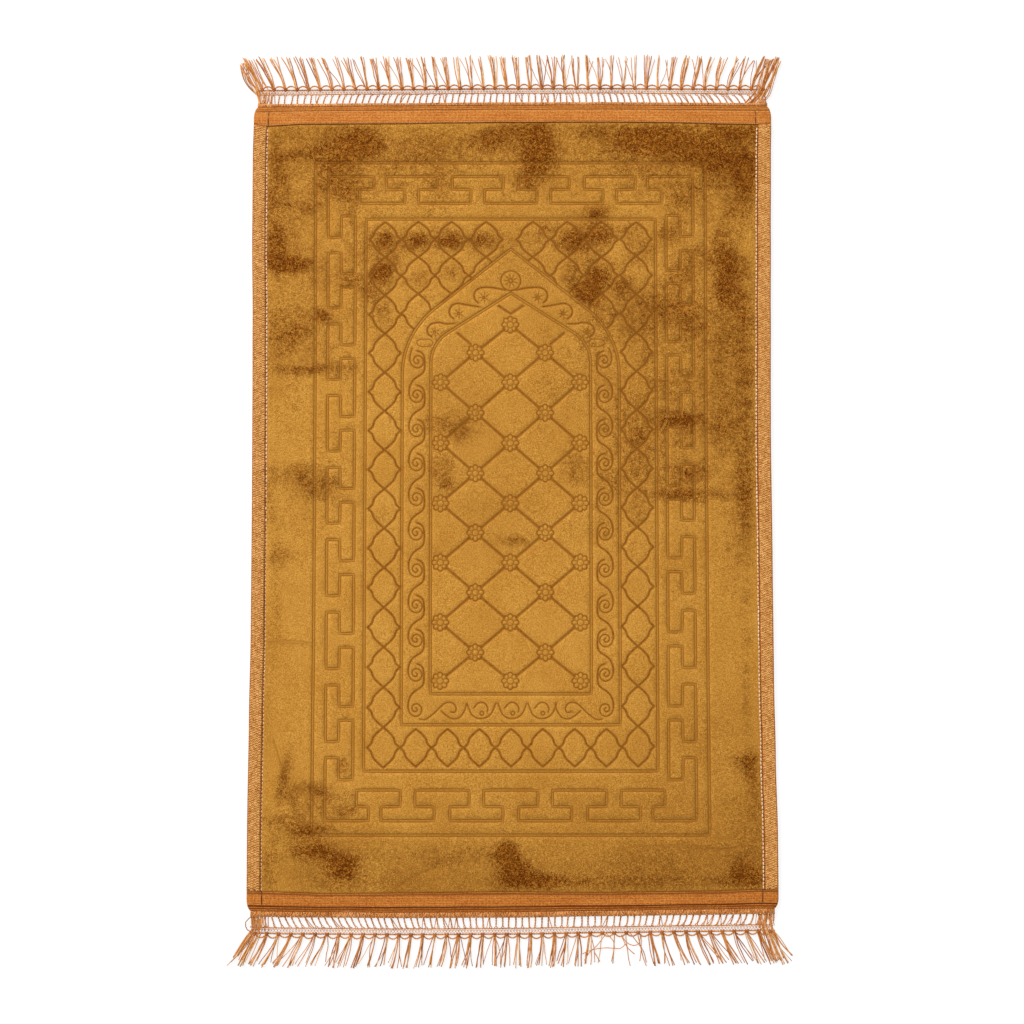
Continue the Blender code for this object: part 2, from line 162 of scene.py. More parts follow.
CURL_HEAD = ((-6.6, 14.0), (-8.8, 6.4), (-9.5, -0.3), (-7.6, -6.2), (-4.0, -9.6), (0.4, -10.8),
             (4.8, -9.0), (7.2, -5.0), (7.0, -0.4), (4.4, 3.2), (0.4, 4.6), (-3.4, 2.8),
             (-4.8, -0.8), (-3.2, -4.2), (0.2, -5.2), (2.0, -2.2), (0.0, -0.2))
CORNER_LINE = ((-112.5, -264.2), (-105.5, -264.9), (-99.1, -260.8), (-92.5, -255.3),
               (-87.0, -249.8), (-82.0, -245.4), (-75.9, -243.7), (-70.4, -245.4),
               (-67.3, -250.9), (-69.0, -256.0), (-73.5, -255.5))
CORNER_CUP = ((-85.8, -254.2), (-78.1, -260.8), (-70.4, -264.1), (-62.7, -261.9),
              (-57.2, -254.2), (-54.6, -245.6))
CUP_XS = (-36.6, 1.6, 38.6)
CUP_BOTTOM = -263.6
CUP = ((-17.1, 18.0), (-15.2, 12.7), (-11.6, 5.0), (-5.5, 0.7), (0.5, 0), (6.0, 1.1),
       (11.6, 5.0), (15.4, 11.6), (17.6, 18.0))
CUP_DOME = ((-8.3, 13.6), (-4.2, 18.4), (0.5, 19.8), (5.2, 18.0), (8.3, 12.6), (7.6, 8.2))
CUP_EYE = (1.0, 6.4)
LEAF_LINES = (
    ((-7.0, 268.2), (-15.9, 270.0), (-26.4, 271.4), (-36.9, 271.0), (-43.6, 267.4),
     (-45.8, 261.5), (-44.4, 255.8), (-40.6, 252.2)),
    ((-40.4, 247.1), (-56.2, 249.7), (-66.8, 251.3), (-73.9, 247.9), (-76.8, 241.7),
     (-75.4, 236.0), (-71.4, 232.2)),
    ((-72.0, 225.8), (-82.4, 225.8), (-89.5, 227.4), (-99.0, 225.4), (-104.0, 219.4),
     (-103.0, 213.0), (-98.8, 209.4)),
)
LEAF_EYES = ((-33.6, 258.6), (-65.2, 238.4), (-95.0, 215.2))
LEAF_EYE_RADIUS = 1.6
CUP_EYE_RADIUS = 2.4
EYE_SPOKES = 7
EYE_SPOKE = (3.2, 5.0)
BUD = ((-114.4, 205.6), (-102.0, 206.2), (-97.5, 203.0), (-98.3, 198.6), (-102.4, 197.0),
       (-112.6, 197.4), (-117.0, 201.0))
ROSETTE_Y = 279.8
ROSETTE_RINGS = (12.4, 2.4)
ROSETTE_SPOKES = 9
ROSETTE_SPOKE = (4.4, 7.0)
APEX_VEE = ((-15.6, 248.6), (0.0, 238.3), (15.6, 248.6))
WALL_LINK = ((-66.8, 214.4), (-49.5, 200.0))

# How the pile is pressed down on each side of a line, by the distance from it: its depth in
# millimetres, and the painted shade on the pressed pile, from 0 to 1.
Press = namedtuple("Press", "away depth dark")
CHANNEL = table_of(Press, (0, 0.40, 0.34), (0.8, 0.55, 0.48), (1.6, 0.80, 0.90), (2.4, 0, 0))
BAND = table_of(Press, (0, 0.80, 0.80), (1.2, 0.70, 0.72), (2.7, 0, 0))
GROOVE = table_of(Press, (0, 0.70, 0.86), (1.0, 0.50, 0.76), (2.2, 0, 0))
SCROLL = table_of(Press, (0, 0.65, 0.90), (0.8, 0.50, 0.75), (2.1, 0, 0))
SCORE = table_of(Press, (0, 0.55, 0.85), (0.6, 0.45, 0.72), (1.7, 0, 0))
FOLD = table_of(Press, (0, 0.40, 0.55), (0.9, 0.30, 0.35), (2.4, 0, 0))
SPOKE = table_of(Press, (0, 0.40, 0.75), (0.5, 0.30, 0.62), (1.3, 0, 0))
# A line of the pattern, and the spacing of its points.
Line = namedtuple("Line", "points closed profile")
FRAME_STEP = 9.0
LINK_STEP = 7.0
FOLD_STEP = 4.0


def flat(points):
    return [Vector(point) for point in points]


def smooth(points, step, closed=False):
    """A smooth line through the points, with a point about every step."""
    points = flat(points)
    count = len(points)
    line = []
    for n in range(count if closed else count - 1):
        start, end = points[n], points[(n + 1) % count]
        before = points[n - 1] if n or closed else start
        after = points[(n + 2) % count] if n < count - 2 or closed else end
        cuts = max(2, round((end - start).length / step) + 1)
        knots = (start, start + (end - before) / 6, end - (after - start) / 6, end)
        line += [Vector(p[:2]) for p in interpolate_bezier(*knots, cuts)[:-1]]
    return line if closed else line + [points[-1]]


def straight(points, step, closed=False):
    """The same straight line or closed path, with a point about every step."""
    line = []
    ends = points[1:] + points[:1] if closed else points[1:]
    for start, end in zip(points, ends):
        cuts = max(1, round((end - start).length / step))
        line += [start.lerp(end, n / cuts) for n in range(cuts)]
    return line if closed else line + [points[-1]]


def mirrored(points):
    return [Vector((-p[0], p[1])) for p in points]


def ring(centre, radius, steps, lobe=0.0, lobes=8):
    """A circle, or with a lobe's height a flower's outline."""
    line = []
    for step in range(steps):
        angle = math.tau * step / steps
        reach = radius + lobe * abs(math.cos(angle * lobes / 2))
        line.append(Vector(centre) + reach * Vector((math.cos(angle), math.sin(angle))))
    return line


def frame_path(shape):
    return flat([(-shape.half_width, shape.bottom), (shape.half_width, shape.bottom),
                 (shape.half_width, shape.top), (-shape.half_width, shape.top)])


def arch_path(arch, steps=12):
    """Straight sides, a round shoulder and a straight slope up to the apex on each side."""
    centre = Vector((arch.half_width - arch.radius, arch.spring))
    to_apex = Vector((0.0, arch.apex)) - centre
    end = math.atan2(to_apex.y, to_apex.x) - math.acos(arch.radius / to_apex.length)
    right = [Vector((arch.half_width, arch.bottom))]
    for step in range(steps + 1):
        angle = end * step / steps
        right.append(centre + arch.radius * Vector((math.cos(angle), math.sin(angle))))
    return right + [Vector((0.0, arch.apex))] + list(reversed(mirrored(right)))


def fret_side_path(side, length):
    """Points along one side as (along, inward), from its first corner to the next one."""
    middle = length / 2
    outer_ends = [side.corner_bar]
    outer_starts = []
    for bar in range(side.inner_bars - 1):
        centre = middle + (bar - (side.inner_bars - 2) / 2) * side.period
        outer_starts.append(centre - side.outer_bar / 2)
        outer_ends.append(centre + side.outer_bar / 2)
    outer_starts.append(length - side.corner_bar)
    points = [(0.0, 0.0)]
    for bar in range(side.inner_bars):
        centre = middle + (bar - (side.inner_bars - 1) / 2) * side.period
        start = max(centre - side.inner_bar / 2, FRET_CORNER_CLEAR)
        end = min(centre + side.inner_bar / 2, length - FRET_CORNER_CLEAR)
        points += [(outer_ends[bar], 0.0), (outer_ends[bar], side.middle),
                   (start, side.middle), (start, side.deep), (end, side.deep),
                   (end, side.middle), (outer_starts[bar], side.middle),
                   (outer_starts[bar], 0.0)]
    return points


def fret_path():
    """The whole key fret, clockwise from the top left corner."""
    shape = FRET_FRAME
    head = fret_side_path(FRET_HEAD, 2 * shape.half_width)
    foot = fret_side_path(FRET_FOOT, 2 * shape.half_width)
    column = fret_side_path(FRET_COLUMN, shape.top - shape.bottom)
    path = [(-shape.half_width + a, shape.top - i) for a, i in head]
    path += [(shape.half_width - i, shape.top - a + between(FRET_RIGHT_CLIMB, a))
             for a, i in column]
    path += [(shape.half_width - a, shape.bottom + i) for a, i in foot]
    path += [(-shape.half_width + i, shape.bottom + a) for a, i in column]
    return flat(path)


def ogee_line(x, half_width, levels, swing):
    """One of the two lines that cross at each level of a column of ogees."""
    line = []
    for low, high in zip(levels, levels[1:]):
        middle = (low + high) / 2
        rise = [(x + swing * half_width * q.out, low + (middle - low) * q.along) for q in VEE]
        fall = [(x + swing * half_width * q.out, high - (high - middle) * q.along)
                for q in DOME]
        line += smooth(rise, OGEE_STEP)[:-1] + list(reversed(smooth(fall, OGEE_STEP)))[:-1]
        swing = -swing
    return line + [Vector((x, levels[-1]))]


def arch_height(arch, x):
    """Where an arch's outline is, above a place across."""
    path = arch_path(arch)
    for start, end in zip(path, path[1:]):
        if min(start.x, end.x) <= x <= max(start.x, end.x) and abs(end.x - start.x) > 0.01:
            return start.y + (end.y - start.y) * (x - start.x) / (end.x - start.x)
    return -HALF_LENGTH


def ogee_lines():
    """Two columns of ogees, two rows below, and those above the outer arch, cut off by it."""
    lines = []
    for swing in (-1, 1):
        for side, rise in ((-1, 0.0), (1, OGEE_RIGHT_RISE)):
            levels = [level + rise for level in OGEE_LEVELS[:-1]] + OGEE_LEVELS[-1:]
            lines.append(ogee_line(side * OGEE_COLUMN_X, OGEE_HALF_WIDTH, levels, swing))
        for x in SPANDREL_XS:
            line = ogee_line(x, SPANDREL_HALF_WIDTH, SPANDREL_LEVELS, swing)
            kept = []
            for point in line:
                if point.y > arch_height(OUTER_ARCH, point.x) + 1.0:
                    kept.append(point)
                else:
                    lines.append(kept)
                    kept = []
            lines.append(kept)
        for place in range(-3, 4):
            lines.append(ogee_line(OGEE_ROW_X + place * OGEE_ROW_PITCH, OGEE_ROW_HALF_WIDTH,
                                   OGEE_ROW_LEVELS, swing))
    return lines


def lattice_columns(row):
    """Places of a row's flowers, in columns from the middle."""
    if row == 0:
        return (0,)
    return (-1, 1) if row % 2 else (-2, 0, 2)


def lattice_lines():
    """Links between neighbouring flowers, and the flowers."""
    links = [flat(APEX_VEE), flat(WALL_LINK), mirrored(WALL_LINK)]
    flowers = []
    rows = [[Vector((LATTICE_X + column * LATTICE_COLUMN, level))
             for column in lattice_columns(row)] for row, level in enumerate(LATTICE_LEVELS)]
    for row, next_row in zip(rows, rows[1:] + [[]]):
        flowers += row
        for centre in row:
            for end in next_row:
                if abs(end.x - centre.x) < 1.5 * LATTICE_COLUMN:
                    along = (end - centre).normalized() * (FLOWER_RADIUS + FLOWER_CLEAR)
                    links.append([centre + along, end - along])
    return links, flowers


def scroll_lines():
    """The scrolls between the two arches: thick stems, thin curls and the curls' eyes."""
    stems = [smooth(line, SCROLL_STEP) for line in LEAF_LINES]
    eyes = [ring(eye, LEAF_EYE_RADIUS, 7) for eye in LEAF_EYES]
    first = Vector((CURL_X + 0.8, CURL_YS[0]))
    curls = [smooth([first + Vector(p) for p in CURL_HEAD], SCROLL_STEP)]
    for y, next_y in zip(CURL_YS, CURL_YS[1:]):
        stretch = (y - next_y) / CURL_PITCH
        centre = Vector((CURL_X, y))
        line = []
        for p in CURL_LINE:
            share = min(1.0, max(0.0, -p[1] / CURL_PITCH))
            line.append(centre + Vector((p[0], p[1] + CURL_PITCH * (1 - stretch) * share)))
        stems.append(smooth(line[:CURL_STEM + 1], SCROLL_STEP))
        curls.append(smooth(line[CURL_STEM:], SCROLL_STEP))
    curls += [smooth(CORNER_LINE, SCROLL_STEP), smooth(CORNER_CUP, SCROLL_STEP)]
    stems += [mirrored(line) for line in stems]
    curls += [mirrored(line) for line in curls]
    eyes += [mirrored(line) for line in eyes]
    for x in CUP_XS:
        foot = Vector((x, CUP_BOTTOM))
        for shape in (CUP, CUP_DOME):
            curls.append(smooth([foot + Vector(p) for p in shape], SCROLL_STEP))
        eyes.append(ring(foot + Vector(CUP_EYE), CUP_EYE_RADIUS, 8))
    return stems, curls, eyes


def spokes(centre, count, reaches):
    """Short lines out from a middle, between two distances."""
    made = []
    for number in range(count):
        angle = math.tau * (number + 0.5) / count
        out = Vector((math.cos(angle), math.sin(angle)))
        made.append(Line([centre + out * reach for reach in reaches], False, SPOKE))
    return made


def pattern():
    """Every embossed line of the velvet."""
    frames = (frame_path(OUTER_FRAME), frame_path(INNER_FRAME), fret_path(),
              arch_path(OUTER_ARCH), arch_path(NICHE_ARCH))
    lines = [Line(straight(path, FRAME_STEP, True), True, CHANNEL) for path in frames]
    lines += [Line(line, False, GROOVE) for line in ogee_lines() if len(line) > 1]
    links, flowers = lattice_lines()
    lines += [Line(straight(link, LINK_STEP), False, BAND) for link in links]
    for centre in flowers:
        outline = ring(centre, FLOWER_RADIUS, 48, FLOWER_LOBE, FLOWER_LOBES)
        lines += [Line(outline, True, SCORE), Line(ring(centre, FLOWER_RING, 12), True, SPOKE)]
        lines += spokes(centre, FLOWER_LOBES, FLOWER_SPOKE)
    stems, curls, eyes = scroll_lines()
    lines += [Line(line, False, SCROLL) for line in stems]
    lines += [Line(line, False, SCORE) for line in curls]
    lines += [Line(line, True, SCORE) for line in eyes]
    for side in (-1, 1):
        bud = smooth([(side * x, y) for x, y in BUD], SCROLL_STEP, True)
        lines.append(Line(bud, True, SPOKE))
        for x, y in LEAF_EYES:
            lines += spokes(Vector((side * x, y)), EYE_SPOKES, EYE_SPOKE)
    for radius in ROSETTE_RINGS:
        lines.append(Line(ring((0.0, ROSETTE_Y), radius, 36), True, SCORE))
    lines += spokes(Vector((0.0, ROSETTE_Y)), ROSETTE_SPOKES, ROSETTE_SPOKE)
    shift = Vector((PATTERN_X, 0.0))
    folds = [Line(smooth(fold, FOLD_STEP), False, FOLD) for fold in FOLDS]
    return folds + [Line([p + shift for p in points], closed, profile)
                    for points, closed, profile in lines]


# ---- Where the pile has been brushed the other way, painted shade, and creases ----

# Soft ellipses: half sizes in millimetres, turned anticlockwise in degrees.
Patch = namedtuple("Patch", "x y half_width half_height strength turn", defaults=(0,))
# Brushed pile; the broadest patches are painted shade, darker towards the top and the sides.
BRUSHED_AND_SHADE = table_of(
    Patch,
    (-190, 452, 24, 16, 0.72, 15), (-217, 458, 33, 20, 0.4), (-267, 441, 30, 5, 0.45, 12),
    (-284, 400, 6, 32, 0.25, 8), (-297, 412, 8, 57, 0.25), (-16, 457, 22, 15, 0.42),
    (32, 443, 21, 33, 0.8), (12, 468, 36, 8, 0.32), (165, 457, 53, 15, 0.62, -4),
    (258, 433, 43, 15, 0.75, -14), (292, 417, 16, 28, 0.75), (236, 458, 69, 28, 0.3),
    (160, 433, 75, 25, 0.16), (-91, 455, 75, 20, 0.15), (-278, 301, 30, 9, 0.8),
    (-292, 325, 15, 22, 0.5), (-299, 350, 8, 50, 0.25), (-238, 236, 11, 8, 0.55),
    (-278, 218, 28, 21, 0.28), (-234, 169, 40, 6, 0.42, 6), (-278, 168, 25, 5, 0.3),
    (-160, 331, 11, 10, 0.6), (-117, 330, 11, 9, 0.55), (-77, 330, 13, 10, 0.65),
    (-163, 291, 13, 10, 0.85), (-77, 291, 13, 11, 0.35), (-213, 425, 20, 16, 0.4),
    (-210, 395, 28, 13, 0.35), (-204, 369, 13, 25, 0.2), (87, 336, 20, 16, 0.5),
    (106, 366, 14, 10, 0.6), (114, 338, 15, 13, 0.55), (95, 266, 18, 14, 0.95),
    (107, 286, 16, 11, 0.7), (76, 296, 15, 10, 0.4), (135, 275, 15, 13, 0.55),
    (152, 233, 28, 38, 0.37), (160, 319, 23, 25, 0.32), (265, 306, 15, 33, 0.45),
    (290, 240, 15, 48, 0.28), (212, 287, 20, 13, 0.4), (216, 243, 20, 28, 0.33),
    (241, 218, 25, 28, 0.2), (185, 250, 18, 34, 0.25), (224, 130, 75, 105, 0.28),
    (158, 85, 25, 60, 0.25), (292, 110, 14, 105, 0.36), (209, 105, 30, 9, 0.5),
    (205, 30, 30, 14, 0.28), (293, -7, 12, 62, 0.4), (215, 12, 52, 7, 0.55),
    (121, 93, 25, 87, 0.22), (59, 105, 37, 50, 0.12), (109, -19, 50, 37, 0.15),
    (-258, 193, 42, 22, 0.2), (-239, 22, 30, 14, 0.45, 20), (-277, 33, 27, 15, 0.3),
    (-264, -19, 37, 25, 0.15), (-64, 99, 25, 16, 0.33), (-80, 24, 10, 6, 0.5),
    (6, -45, 16, 7, 0.4), (-215, 80, 25, 25, 0.15), (-281, -336, 7, 37, 0.55, -12),
    (-249, -348, 25, 10, 0.4, -8), (-252, -400, 30, 8, 0.55, 5), (-243, -424, 26, 12, 0.62),
    (-208, -440, 20, 14, 0.7), (-225, -365, 30, 18, 0.32), (-209, -322, 9, 11, 0.45, 30),
    (-202, -378, 14, 6, 0.45, 10), (-261, -378, 17, 12, 0.2), (-224, -460, 37, 10, 0.15),
    (15, 405, 12, 10, 0.35), (-89, -438, 25, 5, 0.2, 15), (-6, -427, 12, 14, 0.85),
    (6, -451, 19, 15, 0.78), (34, -460, 32, 10, 0.6), (157, -456, 120, 9, 0.2),
    (282, -448, 18, 20, 0.5), (150, -464, 90, 8, 0.25), (287, -314, 17, 7, 0.5, 10),
    (295, -345, 8, 45, 0.4), (-298, -448, 12, 37, 0.3), (-258, 34, 13, 10, 0.3),
    (-293, -118, 7, 74, 0.25), (0, 440, 420, 60, 0.25), (-290, 330, 50, 150, 0.22),
    (-60, 330, 120, 16, 0.3), (280, 290, 50, 120, 0.22), (230, 400, 90, 60, 0.15),
    (-180, 300, 100, 130, 0.14), (292, -143, 10, 74, 0.2), (291, -241, 7, 49, 0.3),
    (-250, 372, 22, 12, 0.3), (-182, 312, 24, 12, 0.26), (-190, 280, 40, 11, 0.32),
    (-165, 240, 13, 28, 0.28), (-125, 331, 16, 11, 0.2), (-40, 331, 15, 10, 0.35),
    (70, 328, 14, 14, 0.5), (42, 348, 16, 11, 0.28), (98, 314, 20, 12, 0.35),
    (70, 279, 10, 10, 0.45), (-117, 283, 11, 10, 0.32), (282, 465, 32, 10, 0.6),
    (95, 465, 24, 9, 0.35), (-40, 455, 16, 8, 0.3), (255, 404, 16, 9, 0.35),
    (214, 384, 20, 22, 0.3), (264, 266, 12, 15, 0.45), (145, 345, 18, 12, 0.25),
    (110, 240, 16, 18, 0.22), (40, 213, 10, 10, 0.25), (-95, 101, 15, 12, 0.35),
    (-88, 45, 17, 20, 0.4), (76, 46, 17, 20, 0.42), (127, 30, 24, 10, 0.28),
    (159, 50, 10, 18, 0.2), (157, 86, 9, 10, 0.3), (156, -10, 10, 12, 0.25),
    (50, 145, 24, 10, 0.2), (-20, -44, 20, 13, 0.2), (-281, 130, 28, 40, 0.15),
    (-302, 15, 8, 36, 0.28), (-258, 46, 30, 8, 0.25), (-285, -64, 24, 13, 0.25),
    (-222, -82, 11, 10, 0.2), (274, -60, 14, 62, 0.2), (-205, 160, 25, 8, 0.2),
    (-271, -360, 10, 10, 0.4), (-285, -389, 25, 7, 0.35), (-75, -430, 90, 12, 0.22),
    (-24, -425, 17, 20, 0.15), (-16, -463, 18, 11, 0.3), (228, 42, 24, 12, 0.34),
    (266, 95, 18, 36, 0.28), (266, 180, 16, 45, 0.18), (165, 185, 12, 12, 0.22),
    (225, 308, 26, 14, 0.32), (194, 340, 13, 14, 0.42), (281, 298, 14, 14, 0.45),
    (275, 262, 15, 28, 0.28), (98, 205, 26, 42, 0.22), (120, 300, 24, 9, 0.3),
    (284, 374, 18, 15, 0.32), (-230, 415, 12, 22, 0.28), (-252, 435, 38, 8, 0.22),
    (-110, 442, 42, 18, 0.22), (-92, 398, 14, 28, 0.22), (-150, 305, 14, 11, 0.35),
    (-180, 262, 11, 10, 0.35), (-62, 86, 13, 10, 0.28), (-165, -14, 11, 12, 0.2),
    (289, -330, 13, 10, 0.3), (300, -460, 14, 10, 0.4), (262, -464, 24, 8, 0.28),
)

# Places that are evenly darker: painted shade, most of all towards the bottom, and smooth
# patches of brushed pile.
SHADED = table_of(
    Patch,
    (190, -430, 70, 34, 0.34), (-245, -425, 56, 40, 0.36), (-210, -458, 46, 14, 0.4),
    (308, -390, 16, 60, 0.3), (-100, -438, 130, 34, 0.26), (225, 150, 70, 200, 0.1),
    (170, -452, 150, 26, 0.42), (285, -425, 30, 60, 0.32), (200, -395, 110, 40, 0.2),
    (245, -335, 80, 70, 0.2), (230, -240, 90, 60, 0.16), (0, -420, 330, 70, 0.14),
    (75, -350, 140, 40, 0.12), (-60, -465, 120, 16, 0.24), (-135, -460, 22, 14, 0.35),
    (0, 300, 50, 26, 0.22), (155, 250, 34, 26, 0.3), (205, 240, 20, 22, 0.28),
    (200, 155, 50, 14, 0.25), (225, 335, 40, 30, 0.16), (90, 358, 30, 14, 0.3),
    (20, 380, 60, 50, 0.16), (60, 210, 60, 90, 0.14), (-75, 140, 40, 60, 0.2),
    (-250, 232, 60, 16, 0.25), (-297, 195, 10, 40, 0.25), (-240, 285, 40, 24, 0.16),
    (215, 100, 40, 16, 0.2), (205, 68, 20, 14, 0.2), (0, 50, 60, 60, 0.14),
    (-105, 30, 36, 18, 0.22), (-215, 8, 30, 10, 0.25), (-45, 0, 50, 14, 0.16),
    (276, 22, 18, 18, 0.3), (-110, -55, 40, 12, 0.16), (208, -69, 87, 74, 0.14),
    (0, -35, 60, 40, 0.12), (-165, 425, 30, 12, 0.2), (-282, 468, 30, 12, 0.3),
    (-303, -230, 8, 80, 0.2),
)

Crease = namedtuple("Crease", "points height half_width")
CREASES = table_of(
    Crease,
    (((140, -423), (171, -418.3), (205, -416.5), (245, -420.5), (275, -418), (305, -411)),
     0.9, 5.0),
    (((4, -445), (42, -438.3), (85, -434)), 0.6, 4.5),
    (((-305, -169.7), (-273, -168.5), (-240, -171.5)), 0.45, 4.5),
    (((307, -297.5), (289, -302), (271, -311)), 0.7, 5.0),
)
# Sharp little folds in the pile, as lines, with painted shade along them.
FOLDS = (((-294, -289), (-283, -324), (-267, -366)), ((-269, -347), (-244, -354), (-220, -360)),
         ((-215, -378), (-198, -370), (-182, -369)),
         ((-277, -384), (-258, -390), (-237, -407), (-216, -402)),
         ((-228, -435), (-208, -427), (-195, -424), (-182, -430)),
         ((-139, -465), (-117, -452), (-95, -444)),
         ((144, -420), (175, -418), (206, -417), (237, -420), (264, -422), (286, -415),
          (300, -411)),
         ((269, -312), (283, -303), (300, -298)), ((275, -331), (300, -325)),
         ((-284, 470), (-284, 443), (-290, 420)), ((-284, 444), (-268, 438), (-246, 427)),
         ((214, 449), (268, 427), (300, 417)), ((269, 287), (291, 269)),
         ((-302, -170), (-273, -168), (-248, -171)))


# ---- Materials ----

class Maths:
    """A number that varies over a surface: sums written on it add Math nodes."""

    def __init__(self, look, socket):
        self.look = look
        self.socket = socket

    def using(self, operation, *others):
        values = {n: value for n, value in enumerate((self, *others))}
        return self.look.node("ShaderNodeMath", {"operation": operation}, values)

    def __add__(self, other):
        return self.using("ADD", other)

    def __sub__(self, other):
        return self.using("SUBTRACT", other)

    def __mul__(self, other):
        return self.using("MULTIPLY", other)

    def __rsub__(self, other):
        return self * -1 + other

    def above(self, low, high):
        """0 under low, 1 over high, smooth between."""
        settings = {"interpolation_type": "SMOOTHSTEP"}
        return self.look.node("ShaderNodeMapRange", settings,
                              {"Value": self, "From Min": low, "From Max": high})

    __radd__ = __add__
    __rmul__ = __mul__


class Look:
    """One material, with its shader."""

    def __init__(self, name, constants):
        self.material = bpy.data.materials.new(name)
        self.material.use_nodes = True
        self.nodes = self.material.node_tree.nodes
        self.links = self.material.node_tree.links
        self.shader = self.nodes["Principled BSDF"]
        for socket, value in constants.items():
            self.shader.inputs[socket].default_value = value

    def node(self, kind, settings=None, sockets=None, output=0):
        """Any node, by its kind, its settings and the values or links of its sockets."""
        made = self.nodes.new(kind)
        for name, value in (settings or {}).items():
            if name == "stops":
                self.set_stops(made.color_ramp, value)
            else:
                setattr(made, name, value)
        for name, value in (sockets or {}).items():
            if isinstance(value, Maths):
                self.links.new(value.socket, made.inputs[name])
            else:
                made.inputs[name].default_value = value
        return Maths(self, made.outputs[output])

    @staticmethod
    def set_stops(ramp, stops):
        while len(ramp.elements) < len(stops):
            ramp.elements.new(1.0)
        for element, (place, colour) in zip(ramp.elements, stops):
            element.position = place
            element.color = (*colour, 1.0)

    def place(self):
        return self.node("ShaderNodeTexCoord", output="Object")

    def stretched(self, scale):
        return self.node("ShaderNodeMapping", {}, {"Vector": self.place(), "Scale": scale})

    def noise(self, scale, detail=2.0, roughness=0.5, place=None, distortion=0.0):
        """Mottling, with about scale blotches to the metre."""
        return self.node("ShaderNodeTexNoise", {}, {
            "Vector": place or self.place(), "Scale": scale, "Detail": detail,
            "Roughness": roughness, "Distortion": distortion})

    def painted(self, name):
        """A number that the mesh carries at each of its points."""
        return self.node("ShaderNodeAttribute", {"attribute_name": name}, output="Fac")

    def mix(self, share, first, second):
        """The second colour laid over the first; the numbers are the colour mix's sockets."""
        return self.node("ShaderNodeMix", {"data_type": "RGBA"},
                         {0: share, 6: first, 7: second}, output=2)

    def waves(self, way, scale, distortion, **more):
        """Bands across x or y, for woven threads."""
        sockets = {"Vector": self.place(), "Scale": scale, "Distortion": distortion, **more}
        return self.node("ShaderNodeTexWave", {"bands_direction": way}, sockets)

    def ramp(self, value, stops):
        return self.node("ShaderNodeValToRGB", {"stops": stops}, {"Fac": value})

    def finish(self, colour, height, strength, distance):
        """Links the colour and the bumps; the distance is the bumps' height in metres."""
        self.links.new(colour.socket, self.shader.inputs["Base Color"])
        bump = self.node("ShaderNodeBump", {}, {"Strength": strength, "Distance": distance,
                                                "Height": height})
        self.links.new(bump.socket, self.shader.inputs["Normal"])
        return self.material


def tint(red, green, blue):
    """A colour as seen on a screen, 0 to 255, made linear."""
    seen = [c / 255 for c in (red, green, blue)]
    return tuple(c / 12.92 if c < 0.04045 else ((c + 0.055) / 1.055) ** 2.4 for c in seen)


def solid(red, green, blue):
    return (*tint(red, green, blue), 1.0)


def pile_material():
    """Gold plush: dark where brushed, with painted shade there and in its channels."""
    look = Look("gold_plush", {"Roughness": 0.9, "Sheen Weight": 0.06, "Sheen Roughness": 0.5,
                               "Sheen Tint": solid(224, 170, 90), "Specular IOR Level": 0.05})
    brushed = look.painted("brushed")
    shaded = look.painted("shaded")
    pressed = look.painted("pressed")
    grain = look.noise(1050.0, 2.0, 0.65, look.stretched((0.75, 1.0, 1.0)))
    tufts = look.noise(360.0, 2.0, 0.6)
    clumps = look.noise(80.0, 3.0, 0.65, distortion=0.8)
    clouds = look.noise(16.0, 3.0, 0.55)
    ragged = ((clumps - 0.5) * 0.8 - (tufts - 0.5) * 0.4 - (grain - 0.5) * 0.3
              + (clouds - 0.5) * 0.4)
    dark = ((brushed * 1.25 + ragged).above(0.0, 0.95) * (1 - shaded * 0.6)
            + shaded * 0.9)
    shade = (grain - 0.5) * 1.7 + (tufts - 0.5) * 0.3 + (clouds - 0.5) * 0.3 + 0.48
    light_tone = look.ramp(shade, ((0.1, tint(140, 84, 22)), (0.5, tint(181, 127, 49)),
                                   (0.9, tint(212, 161, 78))))
    dark_tone = look.ramp(shade + (tufts - 0.5) * 0.6,
                          ((0.15, tint(56, 18, 0)), (0.5, tint(110, 56, 4)),
                           (0.85, tint(178, 120, 42))))
    # The channels stay a little paler than the brushed and shaded pile round them.
    colour = look.mix(dark * (1 - pressed * 0.25), light_tone, dark_tone)
    # Painted shade: in the channels, on the creases' lower sides and where the pile rolls down.
    groove = (1 - dark * 0.25) * pressed * (0.86 + (grain - 0.5) * 2.1 + (tufts - 0.5) * 0.9)
    colour = look.mix(groove.above(0.0, 1.15), colour, solid(104, 50, 0))
    height = grain * 0.7 + tufts * 0.2
    return look.finish(colour, height=height, strength=0.5, distance=0.0006)


def backing_material():
    """The plush's plain woven back."""
    look = Look("woven_backing", {"Roughness": 0.95, "Specular IOR Level": 0.1})
    weave = look.waves("X", 130.0, 0.6) * look.waves("Y", 160.0, 0.6)
    shade = weave * 0.5 + look.noise(30.0, 3.0) * 0.5
    colour = look.ramp(shade, ((0.1, tint(150, 104, 50)), (0.6, tint(196, 150, 88)),
                               (0.9, tint(214, 172, 112))))
    return look.finish(colour, height=weave, strength=0.6, distance=0.0004)


